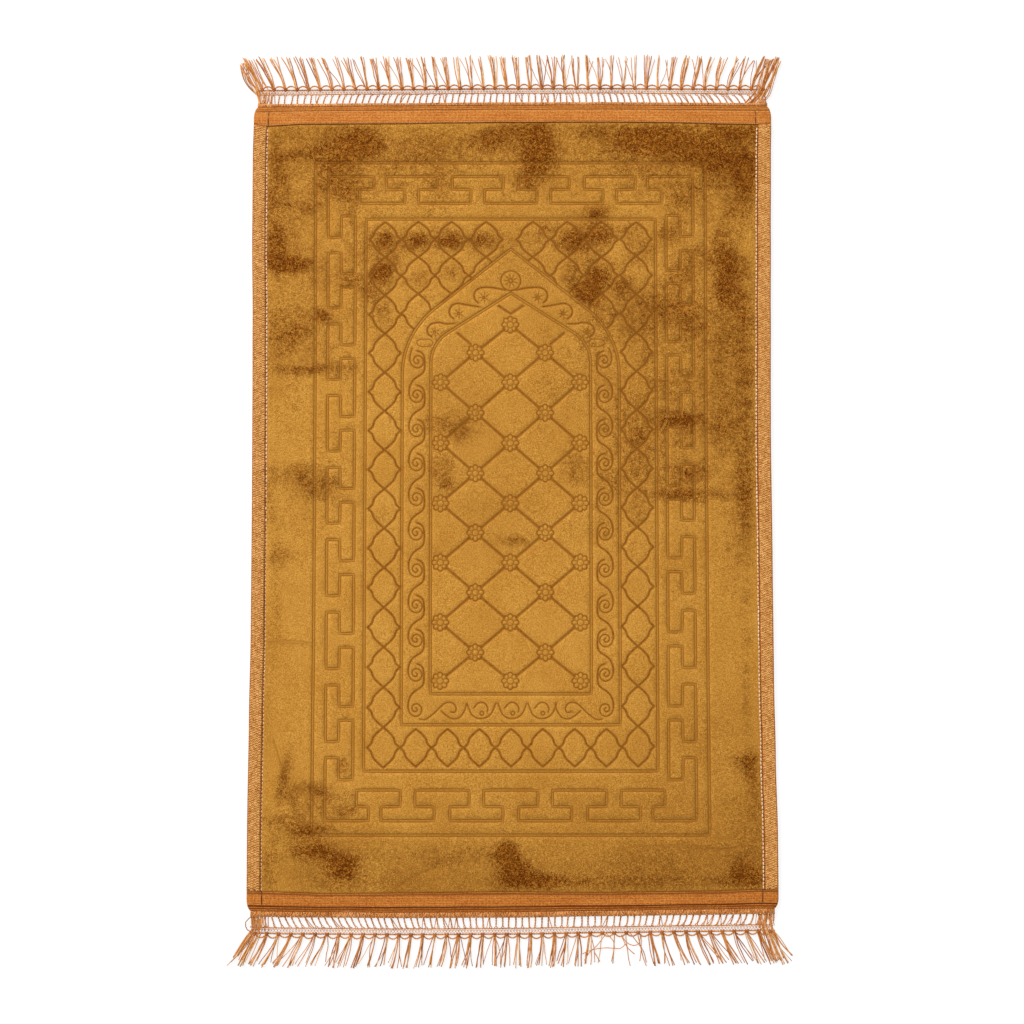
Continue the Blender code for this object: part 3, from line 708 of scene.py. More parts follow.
def knit_material():
    """Knitted gold tape: painted light on its stitches, painted shade between, flecks of rust.
    """
    look = Look("gold_knit", {"Roughness": 0.85, "Sheen Weight": 0.05,
                              "Sheen Tint": solid(240, 190, 130), "Specular IOR Level": 0.1})
    raised = look.painted("raised")
    fibres = look.noise(1100.0, 2.0, 0.6)
    blobs = look.noise(300.0, 2.0, 0.6)
    shade = raised * 0.32 + 0.2 + (fibres - 0.5) * 0.7 + (blobs - 0.5) * 1.1
    colour = look.ramp(shade, ((0.0, tint(128, 70, 22)), (0.2, tint(164, 104, 44)),
                               (0.5, tint(204, 150, 82)), (0.8, tint(230, 180, 116))))
    rust = look.noise(420.0, 1.0, 0.5).above(0.6, 0.68)
    colour = look.mix(rust * 0.6, colour, solid(178, 84, 30))
    return look.finish(colour, height=fibres, strength=0.5, distance=0.0003)


def tape_material():
    """Woven orange tape: ribs, crossing picks, long streaks, and painted shade in its grooves.
    """
    look = Look("orange_tape", {"Roughness": 0.8, "Sheen Weight": 0.05,
                                "Sheen Tint": solid(240, 170, 100),
                                "Specular IOR Level": 0.12})
    pressed = look.painted("pressed")
    tone = look.painted("tone")
    ribs = look.waves("Y", 155.0, 1.5, **{"Detail": 1.0, "Detail Scale": 2.0})
    picks = look.waves("X", 190.0, 2.5)
    streaks = look.noise(160.0, 3.0, 0.6, look.stretched((0.12, 1.0, 1.0)))
    grain = look.noise(620.0, 2.0, 0.65)
    shade = ((ribs - 0.5) * 0.3 + (picks - 0.5) * 0.3 + (streaks - 0.5) * 0.35
             + (grain - 0.5) * 1.2 + 0.5 - tone * 0.12)
    colour = look.ramp(shade, ((0.05, tint(122, 56, 10)), (0.35, tint(164, 92, 30)),
                               (0.6, tint(190, 117, 47)), (0.9, tint(216, 150, 78))))
    # Painted shade in the grooves, and the seams' dark dashes.
    colour = look.mix(pressed * (0.95 + (grain - 0.5) * 0.5), colour, solid(76, 32, 2))
    height = ribs * 0.4 + picks * 0.4 + grain * 0.4
    return look.finish(colour, height=height, strength=0.45, distance=0.0003)


def yarn_material(name, deep, middle, pale):
    """Spun yarn in three tones of one colour."""
    look = Look(name, {"Roughness": 0.8, "Sheen Weight": 0.06,
                       "Sheen Tint": solid(240, 190, 130), "Specular IOR Level": 0.12})
    fibres = look.noise(1500.0, 2.0, 0.6)
    patches = look.noise(220.0, 2.0, 0.6)
    broad = look.noise(28.0, 2.0, 0.5)
    shade = (fibres - 0.5) * 0.5 + (patches - 0.5) * 0.8 + (broad - 0.5) * 0.5 + 0.5
    colour = look.ramp(shade, ((0.15, deep), (0.5, middle), (0.85, pale)))
    return look.finish(colour, height=fibres, strength=0.4, distance=0.0002)


PILE = pile_material()
BACKING = backing_material()
KNIT = knit_material()
TAPE = tape_material()
YARN = yarn_material("fringe_yarn", tint(156, 88, 32), tint(194, 127, 66), tint(222, 168, 112))
PALE_YARN = yarn_material("pale_yarn", tint(178, 118, 66), tint(212, 160, 108),
                          tint(234, 202, 160))
DEEP_YARN = yarn_material("deep_yarn", tint(120, 58, 16), tint(160, 90, 38), tint(194, 130, 72))
STITCH_THREAD = yarn_material("stitch_thread", tint(184, 122, 78), tint(222, 178, 140),
                              tint(240, 216, 194))


# ---- The rug's ends and sides aren't quite straight ----

# How far they stray, in millimetres. The ends' places run from -1 at the left to 1 at the
# right, the sides' places along the rug. Each end has its tape's inner and outer edge.
Stray = namedtuple("Stray", "place shift")
TOP_INNER = table_of(
    Stray,
    (-1.0, 1.2), (-0.95, -1.4), (-0.8, 1.2), (-0.5, 1.6), (-0.2, 2.9), (0.0, 3.5), (0.35, 3.9),
    (0.6, 3.2), (0.93, 0.8), (1.0, 2.0),
)
TOP_OUTER = table_of(
    Stray,
    (-1.0, -0.3), (-0.5, 0.9), (0.0, 2.1), (0.35, 2.3), (0.7, 1.7), (1.0, 1.0),
)
BOTTOM_INNER = table_of(
    Stray,
    (-1.0, -0.6), (-0.8, -2.5), (-0.7, -3.9), (-0.3, -2.6), (-0.05, -1.5), (0.3, -2.5),
    (0.55, -1.6), (0.75, -0.4), (0.95, 1.4), (1.0, 1.6),
)
BOTTOM_OUTER = table_of(
    Stray,
    (-1.0, 2.2), (-0.8, 1.2), (-0.4, 0.4), (0.0, 1.0), (0.35, 2.8), (0.7, 4.2), (0.95, 5.4),
    (1.0, 5.2),
)
LEFT_SIDE = table_of(
    Stray,
    (-460, 0.8), (-400, 0.9), (-260, -0.3), (-160, -1.6), (0, -1.7), (130, -1.3), (230, -0.7),
    (330, 0.7), (440, 0.8), (477, 0.0),
)
RIGHT_SIDE = table_of(
    Stray,
    (-460, 1.0), (-410, 0.9), (-310, -1.0), (-214, -2.4), (-66, -2.9), (83, -3.7), (133, -3.4),
    (233, -2.6), (334, -1.7), (435, -0.8), (477, 0.0),
)
# Within these the rug stays straight.
CALM_TOP = 432.0
CALM_BOTTOM = -412.0
CALM_X = 200.0


def between(table, place):
    """The second column of a table at a place in its first, eased from row to row."""
    for before, after in zip(table, table[1:]):
        if place <= after[0]:
            share = max(0.0, (place - before[0]) / (after[0] - before[0]))
            return before[1] + (3 - 2 * share) * share * share * (after[1] - before[1])
    return table[-1][1]


def end_shift(x, y):
    """How far a place is moved along the rug by its end's waviness."""
    place = max(-1.0, min(1.0, x / HALF_WIDTH))
    if y > 0:
        calm, seam, end, inner, outer = CALM_TOP, FIELD_TOP, HALF_LENGTH, TOP_INNER, TOP_OUTER
    else:
        calm, seam, end = CALM_BOTTOM, FIELD_BOTTOM, -HALF_LENGTH
        inner, outer = BOTTOM_INNER, BOTTOM_OUTER
    if abs(y) <= abs(calm):
        return 0.0
    if abs(y) < abs(seam):
        share = (y - calm) / (seam - calm)
        return between(inner, place) * share * share * (3 - 2 * share)
    share = min(1.0, (y - seam) / (end - seam))
    return between(inner, place) * (1 - share) + between(outer, place) * share


def side_shift(x, y):
    """How far a place is moved across the rug by its side's waviness."""
    share = min(1.0, max(0.0, (abs(x) - CALM_X) / (FIELD_X - CALM_X)))
    stray = between(RIGHT_SIDE if x > 0 else LEFT_SIDE, y)
    return (1 if x > 0 else -1) * (3 - 2 * share) * share * share * stray


# ---- Helpers for the pieces ----

def make_piece(name, bm, materials, node):
    """Scales the plan to metres, puts it in its place and hands it over as a piece."""
    for vert in bm.verts:
        x, y, _ = vert.co
        vert.co.x += side_shift(x, y)
        vert.co.y += end_shift(x, y)
    bmesh.ops.scale(bm, vec=(MM, MM, MM), verts=bm.verts)
    bmesh.ops.translate(bm, vec=PLAN_MIDDLE, verts=bm.verts)
    mesh = bpy.data.meshes.new(name)
    for face in bm.faces:
        face.smooth = True
    bm.to_mesh(mesh)
    bm.free()
    for material in materials:
        mesh.materials.append(material)
    thing = bpy.data.objects.new(name, mesh)
    bpy.context.scene.collection.objects.link(thing)
    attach(thing, "root")
    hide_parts(node)
    return thing


def mesh_of(thing):
    """The finished mesh of a helper object, as a bmesh; the helper goes."""
    graph = bpy.context.evaluated_depsgraph_get()
    mesh = bpy.data.meshes.new_from_object(thing.evaluated_get(graph))
    bm = bmesh.new()
    bm.from_mesh(mesh)
    data = thing.data
    bpy.data.objects.remove(thing)
    bpy.data.meshes.remove(mesh)
    if isinstance(data, bpy.types.Curve):
        bpy.data.curves.remove(data)
    else:
        bpy.data.meshes.remove(data)
    return bm


def helper(bm):
    """A passing object, for a modifier."""
    mesh = bpy.data.meshes.new("helper")
    bm.to_mesh(mesh)
    bm.free()
    thing = bpy.data.objects.new("helper", mesh)
    bpy.context.scene.collection.objects.link(thing)
    return thing


def verts_in(geometry):
    return [part for part in geometry if isinstance(part, bmesh.types.BMVert)]


def edges_in(geometry):
    return [part for part in geometry if isinstance(part, bmesh.types.BMEdge)]


def thickened(bm):
    """A sheet given the folded cloth's thickness, half on each side."""
    cloth = helper(bm)
    thick = cloth.modifiers.new("cloth", "SOLIDIFY")
    thick.thickness = FOLD_CLOTH
    thick.offset = 0.0
    return mesh_of(cloth)


def repeated(bm, count, step):
    """Copies of bm in a row, each moved on by step."""
    thing = helper(bm)
    array = thing.modifiers.new("row", "ARRAY")
    array.use_relative_offset = False
    array.use_constant_offset = True
    array.constant_offset_displace = step
    array.count = count
    return mesh_of(thing)


def join(bm, other, material):
    """Adds other to bm, with its faces in one material slot."""
    for face in other.faces:
        face.material_index = material
    mesh = bpy.data.meshes.new("joined")
    other.to_mesh(mesh)
    other.free()
    bm.from_mesh(mesh)
    bpy.data.meshes.remove(mesh)


def add_blob(bm, centre, size, turn=0.0, segments=6, rings=4):
    """An egg shape: size is its length along y before the turn, its width and its height."""
    length, width, height = size
    matrix = (Matrix.Translation(centre) @ Matrix.Rotation(turn, 4, "Z")
              @ Matrix.Diagonal((width, length, height, 1.0)))
    bmesh.ops.create_uvsphere(bm, u_segments=segments, v_segments=rings, radius=0.5,
                              matrix=matrix)


class Threads:
    """Threads along given points, made as one curve and turned into a mesh."""

    def __init__(self, roundness=0):
        self.curve = bpy.data.curves.new("threads", "CURVE")
        self.curve.dimensions = "3D"
        self.curve.bevel_depth = 1.0
        self.curve.bevel_resolution = roundness
        self.curve.use_fill_caps = True

    def add(self, points, radius, end_radius=None):
        """One thread, which may thin towards its end."""
        spline = self.curve.splines.new("POLY")
        spline.points.add(len(points) - 1)
        last = len(points) - 1
        end_radius = radius if end_radius is None else end_radius
        for n, (point, place) in enumerate(zip(spline.points, points)):
            point.co = (*place, 1.0)
            point.radius = radius + (end_radius - radius) * n / last

    def mesh(self):
        thing = bpy.data.objects.new("threads", self.curve)
        bpy.context.scene.collection.objects.link(thing)
        bm = mesh_of(thing)
        bmesh.ops.remove_doubles(bm, verts=bm.verts, dist=0.002)
        return bm


# ---- Velvet ----

VELVET_SEED = 11
# Outlines: the spacing of their points, and how wide the pile rolls down to the tapes.
EDGE_STEP = 12.0
EDGE_ROLL = 2.4
# The net of loose points: its pitch, its unevenness, and how clear it keeps of the lines.
NET_PITCH = 5.6
NET_JITTER = 0.8
NET_CLEAR = 3.6
# Points closer than this become one.
WELD = 0.03
# Lengths of the waves in the laid cloth.
BROAD_WAVE = 70
SMALL_WAVE = 22
FAR = 999
# Marks along the lines: their spacing, how many are read for a place, and from how far.
MARK_STEP = 1.5
MARKS_READ = 5
PRESS_REACH = 4.0
# A patch ends at so many of its half sizes, and never takes quite all of the colour.
PATCH_REACH = 2.2
PATCH_MOST = 0.97


def beside(points, away, closed):
    """The same line moved sideways, with mitred corners."""
    moved = []
    last = len(points) - 1
    for n, here in enumerate(points):
        before = points[n - 1] if n or closed else here
        after = points[(n + 1) % len(points)] if n < last or closed else here
        ways = [(b - a).normalized() for a, b in ((before, here), (here, after))
                if (b - a).length > 0.001]
        sides = [Vector((-way.y, way.x)) for way in ways]
        across = sum(sides, Vector((0.0, 0.0)))
        across = across.normalized() if across.length > 0.2 else sides[0]
        moved.append(here + across * away / max(0.5, across.dot(sides[0])))
    return moved


class Plan:
    """Points and edges that the velvet's mesh has to keep."""

    def __init__(self):
        self.points = []
        self.edges = []

    def add(self, points, closed):
        first = len(self.points)
        self.points += points
        count = len(points)
        pairs = range(count if closed else count - 1)
        self.edges += [(first + n, first + (n + 1) % count) for n in pairs]


def field_outline(inset):
    """The outline of the plush that shows, moved inwards."""
    shape = Frame(FIELD_X - inset, FIELD_BOTTOM + inset, FIELD_TOP - inset)
    return straight(frame_path(shape), EDGE_STEP, True)


def inside_field(place):
    """How far a place is from the nearest tape or binding."""
    return min(FIELD_X - abs(place.x), place.y - FIELD_BOTTOM, FIELD_TOP - place.y)


def plate_outline():
    """The velvet's edge, with its rounded corners."""
    half_x, half_y = HALF_WIDTH - EDGE_INSET, HALF_LENGTH - EDGE_INSET
    corners = []
    for n, (sx, sy) in enumerate(((1, -1), (1, 1), (-1, 1), (-1, -1))):
        centre = Vector((sx * (half_x - PLATE_CORNER), sy * (half_y - PLATE_CORNER)))
        for step in range(5):
            angle = math.pi / 2 * (n - 1 + step / 4)
            corners.append(centre + PLATE_CORNER * Vector((math.cos(angle), math.sin(angle))))
    return straight(corners, EDGE_STEP, True)


class Nearness:
    """Finds how far a place is from the nearest lines, by marks set along them."""

    def __init__(self, lines):
        self.parts = []
        for line in lines:
            ends = line.points[1:] + line.points[:1] if line.closed else line.points[1:]
            for start, end in zip(line.points, ends):
                self.parts.append((start, end, line.profile))
        marks = []
        for number, (start, end, _) in enumerate(self.parts):
            cuts = max(1, math.ceil((end - start).length / MARK_STEP))
            marks += [(start.lerp(end, (n + 0.5) / cuts), number) for n in range(cuts)]
        self.tree = kdtree.KDTree(len(marks))
        self.numbers = [number for _, number in marks]
        for n, (place, _) in enumerate(marks):
            self.tree.insert((*place, 0.0), n)
        self.tree.balance()

    def distance(self, place):
        """Roughly how far a place is from the nearest line."""
        return self.tree.find((*place, 0.0))[2]

    def pressed(self, place):
        """Depth of the pile at a place, and its painted shade."""
        depth = dark = 0.0
        for _, mark, away in self.tree.find_n((*place, 0.0), MARKS_READ):
            if away > PRESS_REACH:
                break
            start, end, profile = self.parts[self.numbers[mark]]
            nearest, share = intersect_point_line(place, start, end)
            nearest = start if share < 0 else end if share > 1 else nearest
            distance = (Vector(nearest[:2]) - place).length
            for inner, outer in zip(profile, profile[1:]):
                if inner.away <= distance <= outer.away:
                    part = (distance - inner.away) / (outer.away - inner.away)
                    depth = max(depth, inner.depth + part * (outer.depth - inner.depth))
                    dark = max(dark, inner.dark + part * (outer.dark - inner.dark))
        return depth, dark


def share_of(patches, place):
    """How much of a place's colour a table of soft patches takes."""
    left = 1.0
    for patch in patches:
        across, along = place.x - patch.x, place.y - patch.y
        widest = max(patch.half_width, patch.half_height)
        if max(abs(across), abs(along)) > PATCH_REACH * widest:
            continue
        turn = math.radians(patch.turn)
        u = (across * math.cos(turn) + along * math.sin(turn)) / patch.half_width
        v = (along * math.cos(turn) - across * math.sin(turn)) / patch.half_height
        taken = patch.strength * math.exp(-(u * u + v * v) ** 1.3 * 0.75)
        left *= 1 - min(PATCH_MOST, taken)
    return 1 - left


def crease_at(place, creases):
    """How far soft creases lift the pile at a place, and the painted shade on their lower side.
    """
    rise = dark = 0.0
    for line, crease in creases:
        for start, end in zip(line, line[1:]):
            nearest, share = intersect_point_line(place, start, end)
            if not 0 <= share <= 1:
                continue
            offset = place.y - nearest[1]
            away = abs(offset) / crease.half_width
            if away < 1:
                along = (place - line[0]).length / (line[-1] - line[0]).length
                fade = math.sin(math.pi * min(1.0, max(0.0, along))) ** 0.5
                rise = max(rise, crease.height * fade * (1 + math.cos(math.pi * away)) / 2)
                if offset < 0:
                    dark = max(dark, 0.5 * fade * math.sin(math.pi * away))
    return rise, dark


def edge_fall(place):
    """Two shares, 0 at the tapes and bindings: the pile's height, and the cloth's waviness."""
    inside = inside_field(place)
    share = min(1.0, max(0.0, inside / EDGE_ROLL))
    return math.sin(share * math.pi / 2), min(1.0, max(0.0, inside / 14.0))


def velvet_plan(lines, near):
    """The plush in plan: its outlines, both sides of every line, and a net of loose points."""
    plan = Plan()
    plan.add(plate_outline(), True)
    for inset in (0.0, 0.9, EDGE_ROLL):
        plan.add(field_outline(inset), True)
    for line in lines:
        for press in line.profile:
            for side in (-1, 1) if press.away else (1,):
                plan.add(beside(line.points, side * press.away, line.closed), line.closed)
    random.seed(VELVET_SEED)
    for row in range(int(2 * HALF_LENGTH / NET_PITCH)):
        for column in range(int(2 * FIELD_X / NET_PITCH)):
            place = Vector((-FIELD_X + NET_PITCH * (column + 0.5 * (row % 2) + 0.3),
                            -HALF_LENGTH + NET_PITCH * (row + 0.5)))
            place += Vector((random.uniform(-NET_JITTER, NET_JITTER),
                             random.uniform(-NET_JITTER, NET_JITTER)))
            if inside_field(place) > 4.0 and near.distance(place) > NET_CLEAR:
                plan.points.append(place)
    return plan


def pile_at(place, near, creases):
    """The height of the pile's top at a place, and the painted shade there."""
    pile, calm = edge_fall(place)
    depth, dark = near.pressed(place)
    rise, crease_shade = crease_at(place, creases)
    wave = noise.noise((place.x / BROAD_WAVE, place.y / BROAD_WAVE, 3.0)) * 0.35
    wave += noise.noise((place.x / SMALL_WAVE, place.y / SMALL_WAVE, 8.0)) * 0.12
    height = MARGIN_HIGH + (PILE_TOP - MARGIN_HIGH) * pile + (wave + rise) * calm - depth
    # Painted shade in pressed lines and creases, and painted shadow where the pile rolls down.
    return height, max(dark, crease_shade, 0.7 * (1 - pile))


def close_below(bm):
    """The margin's edge, the underside of the margin, and the underside of the field."""
    rim = [edge for edge in bm.edges if len(edge.link_faces) == 1]
    for half_x, low, high, z in ((FAR, -FAR, FAR, MARGIN_LOW),
                                 (FIELD_X, FIELD_BOTTOM, FIELD_TOP, MARGIN_LOW),
                                 (FIELD_X, FIELD_BOTTOM, FIELD_TOP, 0.0)):
        made = bmesh.ops.extrude_edge_only(bm, edges=rim)["geom"]
        rim = edges_in(made)
        for vert in verts_in(made):
            vert.co = (max(-half_x, min(half_x, vert.co.x)), max(low, min(high, vert.co.y)), z)
    bmesh.ops.edgeloop_fill(bm, edges=rim)
    bmesh.ops.remove_doubles(bm, verts=bm.verts, dist=0.001)


def make_velvet():
    """One plate of plush, with every line of the pattern pressed into its top."""
    lines = pattern()
    near = Nearness(lines)
    plan = velvet_plan(lines, near)
    found, _, faces, *_ = delaunay_2d_cdt(plan.points, plan.edges, [], 0, WELD)
    bm = bmesh.new()
    layers = [bm.verts.layers.float.new(name) for name in ("brushed", "shaded", "pressed")]
    creases = [(flat(crease.points), crease) for crease in CREASES]
    for place in found:
        height, dark = pile_at(place, near, creases)
        vert = bm.verts.new((place.x, place.y, height))
        for layer, share in zip(layers, (share_of(BRUSHED_AND_SHADE, place), share_of(SHADED, place),
                                         dark)):
            vert[layer] = share
    bm.verts.ensure_lookup_table()
    for corners in faces:
        bm.faces.new([bm.verts[n] for n in corners])
    if sum(face.normal.z for face in bm.faces) < 0:
        bmesh.ops.reverse_faces(bm, faces=bm.faces)
    top = set(bm.faces)
    close_below(bm)
    for face in bm.faces:
        face.material_index = 0 if face in top else 1
    bmesh.ops.recalc_face_normals(bm, faces=bm.faces)
    return make_piece("velvet_body_plush", bm, (PILE, BACKING), "velvet_body")


# ---- Side bindings ----

BINDING_INNER = HALF_WIDTH - BINDING_FACE
BINDING_CUTS = 120
# Stitches: each has two slanting legs. Sizes are length, width and height.
KNIT_PITCH = 2.95
KNIT_START = 1.9
WALES = (311.1, 314.6, 318.1, 321.6)
LEG_OFFSET = 0.88
LEG_TURN = math.radians(32)
UPPER_LEG = (3.3, 1.7, 1.0)
LOWER_LEG = (3.3, 1.7, 0.9)
OUTER_BEAD = (3.3, 2.9, 2.0)
INNER_BEAD = (2.3, 1.5, 0.9)
# The pale sewing thread beside the binding's inner edge; it sinks in on the lower left.
SEWING_XS = {-1: -306.9, 1: 306.4}
SEWING_PITCH = 4.9
SEWING_STITCH = (4.6, 2.0, 1.2)
SUNK_STITCH = (3.6, 1.4, 0.8)


def binding_base(side):
    """The tape's folded cloth: half round the rug's edge, and flat above and below."""
    radius = (FOLD_TOP - FOLD_CLOTH) / 2
    fold_x = HALF_WIDTH - FOLD_CLOTH / 2 - radius
    section = [Vector((BINDING_INNER, 0.0, FOLD_TOP / 2 + radius)),
               Vector(((BINDING_INNER + fold_x) / 2, 0.0, FOLD_TOP / 2 + radius))]
    for step in range(9):
        angle = math.pi / 2 - math.pi * step / 8
        section.append(Vector((fold_x + radius * math.cos(angle), 0.0,
                               FOLD_TOP / 2 + radius * math.sin(angle))))
    section.append(Vector((BINDING_INNER, 0.0, FOLD_TOP / 2 - radius)))
    bm = bmesh.new()
    verts = [bm.verts.new((side * p.x, FIELD_BOTTOM, p.z)) for p in section]
    edges = [bm.edges.new(pair) for pair in zip(verts, verts[1:])]
    for _ in range(BINDING_CUTS):
        made = bmesh.ops.extrude_edge_only(bm, edges=edges)["geom"]
        edges = [edge for edge in edges_in(made) if all(v in made for v in edge.verts)]
        bmesh.ops.translate(bm, vec=(0.0, (FIELD_TOP - FIELD_BOTTOM) / BINDING_CUTS, 0.0),
                            verts=verts_in(made))
    bmesh.ops.recalc_face_normals(bm, faces=bm.faces)
    return thickened(bm)


def binding_stitches(side, count):
    """Rows of slanting stitches on both faces of the tape."""
    bm = bmesh.new()
    for number, wale in enumerate(WALES):
        y = FIELD_BOTTOM + KNIT_START + KNIT_PITCH / 2 * (number % 2)
        for leg in (-1, 1):
            x = side * (wale + leg * LEG_OFFSET)
            turn = side * leg * LEG_TURN
            add_blob(bm, (x, y, FOLD_TOP + 0.02), UPPER_LEG, turn)
            add_blob(bm, (x, y, 0.42), LOWER_LEG, turn, 4, 3)
    bm = repeated(bm, count, (0.0, KNIT_PITCH, 0.0))
    # The stitches are painted lighter than the cloth between them: painted light and shade.
    raised = bm.verts.layers.float.new("raised")
    for vert in bm.verts:
        vert.co += noise.noise_vector(vert.co / 2.3) * 0.34
        vert[raised] = 1.0
    return bm


def binding_sewing(side, count):
    """The sewing thread, and a row of beads along each edge of the tape."""
    bm = bmesh.new()
    for number in range(int((FIELD_TOP - FIELD_BOTTOM) / SEWING_PITCH)):
        y = FIELD_BOTTOM + SEWING_PITCH * (number + 0.6)
        sunk = side < 0 and y < random.uniform(-60, 60)
        x = SEWING_XS[side] + random.uniform(-0.25, 0.25)
        add_blob(bm, (x, y, 3.6 if sunk else 4.0), SUNK_STITCH if sunk else SEWING_STITCH,
                 random.uniform(-0.16, 0.16))
    beads = bmesh.new()
    y = FIELD_BOTTOM + KNIT_START
    # The outer beads, in the deep yarn, also stand for painted shade along the rolled edge.
    add_blob(beads, (side * (HALF_WIDTH - 1.3), y, FOLD_TOP - 0.7), OUTER_BEAD, 0.0, 5, 3)
    add_blob(beads, (side * (BINDING_INNER - 0.1), y, FOLD_TOP - 0.2), INNER_BEAD, 0.3, 5, 3)
    join(bm, repeated(beads, count, (0.0, KNIT_PITCH, 0.0)), 1)
    return bm


def make_side_binding(name, side):
    """Knitted tape in three pieces: its cloth, its stitches and its sewing."""
    base = make_piece(name + "_tape", binding_base(side), (KNIT,), name)
    count = int((FIELD_TOP - FIELD_BOTTOM - 2.0) / KNIT_PITCH)
    stitches = binding_stitches(side, count)
    make_piece(name + "_stitches", stitches, (KNIT,), name)
    random.seed(len(name))
    sewing = binding_sewing(side, count)
    make_piece(name + "_sewing", sewing, (STITCH_THREAD, DEEP_YARN), name)
    return base


# ---- End tapes ----

# Grooves along a tape: how far in from the rug's end, their depth, half width, and painted
# shade.
Groove = namedtuple("Groove", "inset depth half_width dark")
TAPE_GROOVES = {
    "end_tape_top": table_of(Groove, (3.0, 0.3, 1.2, 0.45), (5.7, 0.4, 1.2, 0.8),
                             (22.0, 0.15, 1.2, 0.5)),
    "end_tape_bottom": table_of(Groove, (3.9, 0.3, 1.2, 1.2), (7.2, 0.6, 1.5, 2.2),
                                (24.6, 0.1, 2.4, 0.75)),
}
# The fold's reach in from the rug's end, and the heights of its two legs.
TAPE_ROLL = FOLD_CLOTH / 2 + (FOLD_TOP - FOLD_CLOTH) / 2
TAPE_UPPER = FOLD_TOP - FOLD_CLOTH / 2
TAPE_LOWER = FOLD_CLOTH / 2
TAPE_CORNER_WIDTH = 6.0
TAPE_CORNER_LENGTH = 15.0
# The length of the grooves' waves, and the stitches that follow them.
TAPE_WAVE = 45
TAPE_STITCH_PITCH = 2.1
TAPE_STITCH = (0.9, 1.4, 0.7)
# Dashed seams where the tape's own ends are turned in.
TAPE_SEAMS = (-306.5, 305.0)
SEAM_START = 6
DASH = 0.9
# The bottom tape's outer rows are darker.
OUTER_ROWS = 7.5


def tape_outline_x(inset):
    """A tape's half width at a distance from the rug's end: its corners are rounded."""
    if inset >= TAPE_CORNER_LENGTH:
        return HALF_WIDTH - TAPE_ROLL
    rounding = 1 - math.sqrt(1 - (1 - inset / TAPE_CORNER_LENGTH) ** 2)
    return HALF_WIDTH - TAPE_ROLL - TAPE_CORNER_WIDTH * rounding


def add_tape_stitches(name, side, insets):
    """Rows of small stitches along a tape, at distances from the rug's end."""
    bm = bmesh.new()
    for inset in insets:
        add_blob(bm, (-HALF_WIDTH + 7.0, side * (HALF_LENGTH - inset), FOLD_TOP - 0.05),
                 TAPE_STITCH, 0.0, 5, 3)
    bm = repeated(bm, int((2 * HALF_WIDTH - 13.0) / TAPE_STITCH_PITCH),
                  (TAPE_STITCH_PITCH, 0.0, 0.0))
    for vert in bm.verts:
        vert.co.y += noise.noise((vert.co.x / TAPE_WAVE, side * 5.0, 0.0)) * -0.16 * side
    make_piece(name + "_stitches", bm, (PALE_YARN,), name)


def tape_levels(grooves, face):
    """Distances from the rug's end at which the tape's upper leg is cut into rows."""
    levels = {TAPE_ROLL, face}
    for groove in grooves:
        for away in (-1, -0.5, 0, 0.5, 1):
            levels.add(groove.inset + away * groove.half_width)
    levels.update(TAPE_ROLL + (face - TAPE_ROLL) * n / 9 for n in range(10))
    return sorted(level for level in levels if TAPE_ROLL <= level <= face)


def tape_columns():
    """Places across the tape, from -1 to 1, with a few more at its seams."""
    columns = {-1 + n / 75 for n in range(151)}
    for seam in TAPE_SEAMS:
        columns.update((seam + away) / (HALF_WIDTH - TAPE_ROLL) for away in (-1.1, 0.0, 1.1))
    return sorted(columns)


def tape_pressed(grooves, across, inset):
    """How deep the tape is pressed by its grooves, their painted shade, and how dark the seams
    are.
    """
    depth = dark = 0.0
    for groove in grooves:
        away = abs(inset - groove.inset) / groove.half_width
        if away < 1:
            depth = max(depth, groove.depth * (1 + math.cos(math.pi * away)) / 2)
            dark = max(dark, min(1.0, groove.dark * (1 - away)))
    for seam in TAPE_SEAMS:
        if abs(across - seam) < 1.0 and inset > SEAM_START:
            dark = max(dark, 1.0 if int(inset / DASH) % 3 else 0.4)
    return depth, dark


def tape_rim(bm, inner_y):
    """The open edges of a tape's leg, but for those along its inner edge."""
    return [edge for edge in bm.edges if len(edge.link_faces) == 1
            and not all(abs(abs(v.co.y) - inner_y) < 0.5 for v in edge.verts)]


def round_fold(verts, side, tone_layer, tone_value):
    """Moves the points between the two legs out on to a half round fold."""
    middle, reach = (TAPE_UPPER + TAPE_LOWER) / 2, (TAPE_UPPER - TAPE_LOWER) / 2
    for vert in verts:
        share = (vert.co.z - TAPE_LOWER) / (TAPE_UPPER - TAPE_LOWER)
        angle = math.pi * (share - 0.5)
        inset = HALF_LENGTH - abs(vert.co.y)
        turned = min(1.0, max(0.0, 1 - (inset - TAPE_ROLL) / 13.0)) ** 1.5 * math.pi / 2
        if abs(vert.co.x) < tape_outline_x(max(inset, 0.0)) - 1.0:
            turned = math.pi / 2
        outward = Vector((math.copysign(math.cos(turned), vert.co.x),
                          side * math.sin(turned), 0.0))
        vert.co += outward * reach * math.cos(angle)
        vert.co.z = middle + reach * math.sin(angle)
        vert[tone_layer] = tone_value


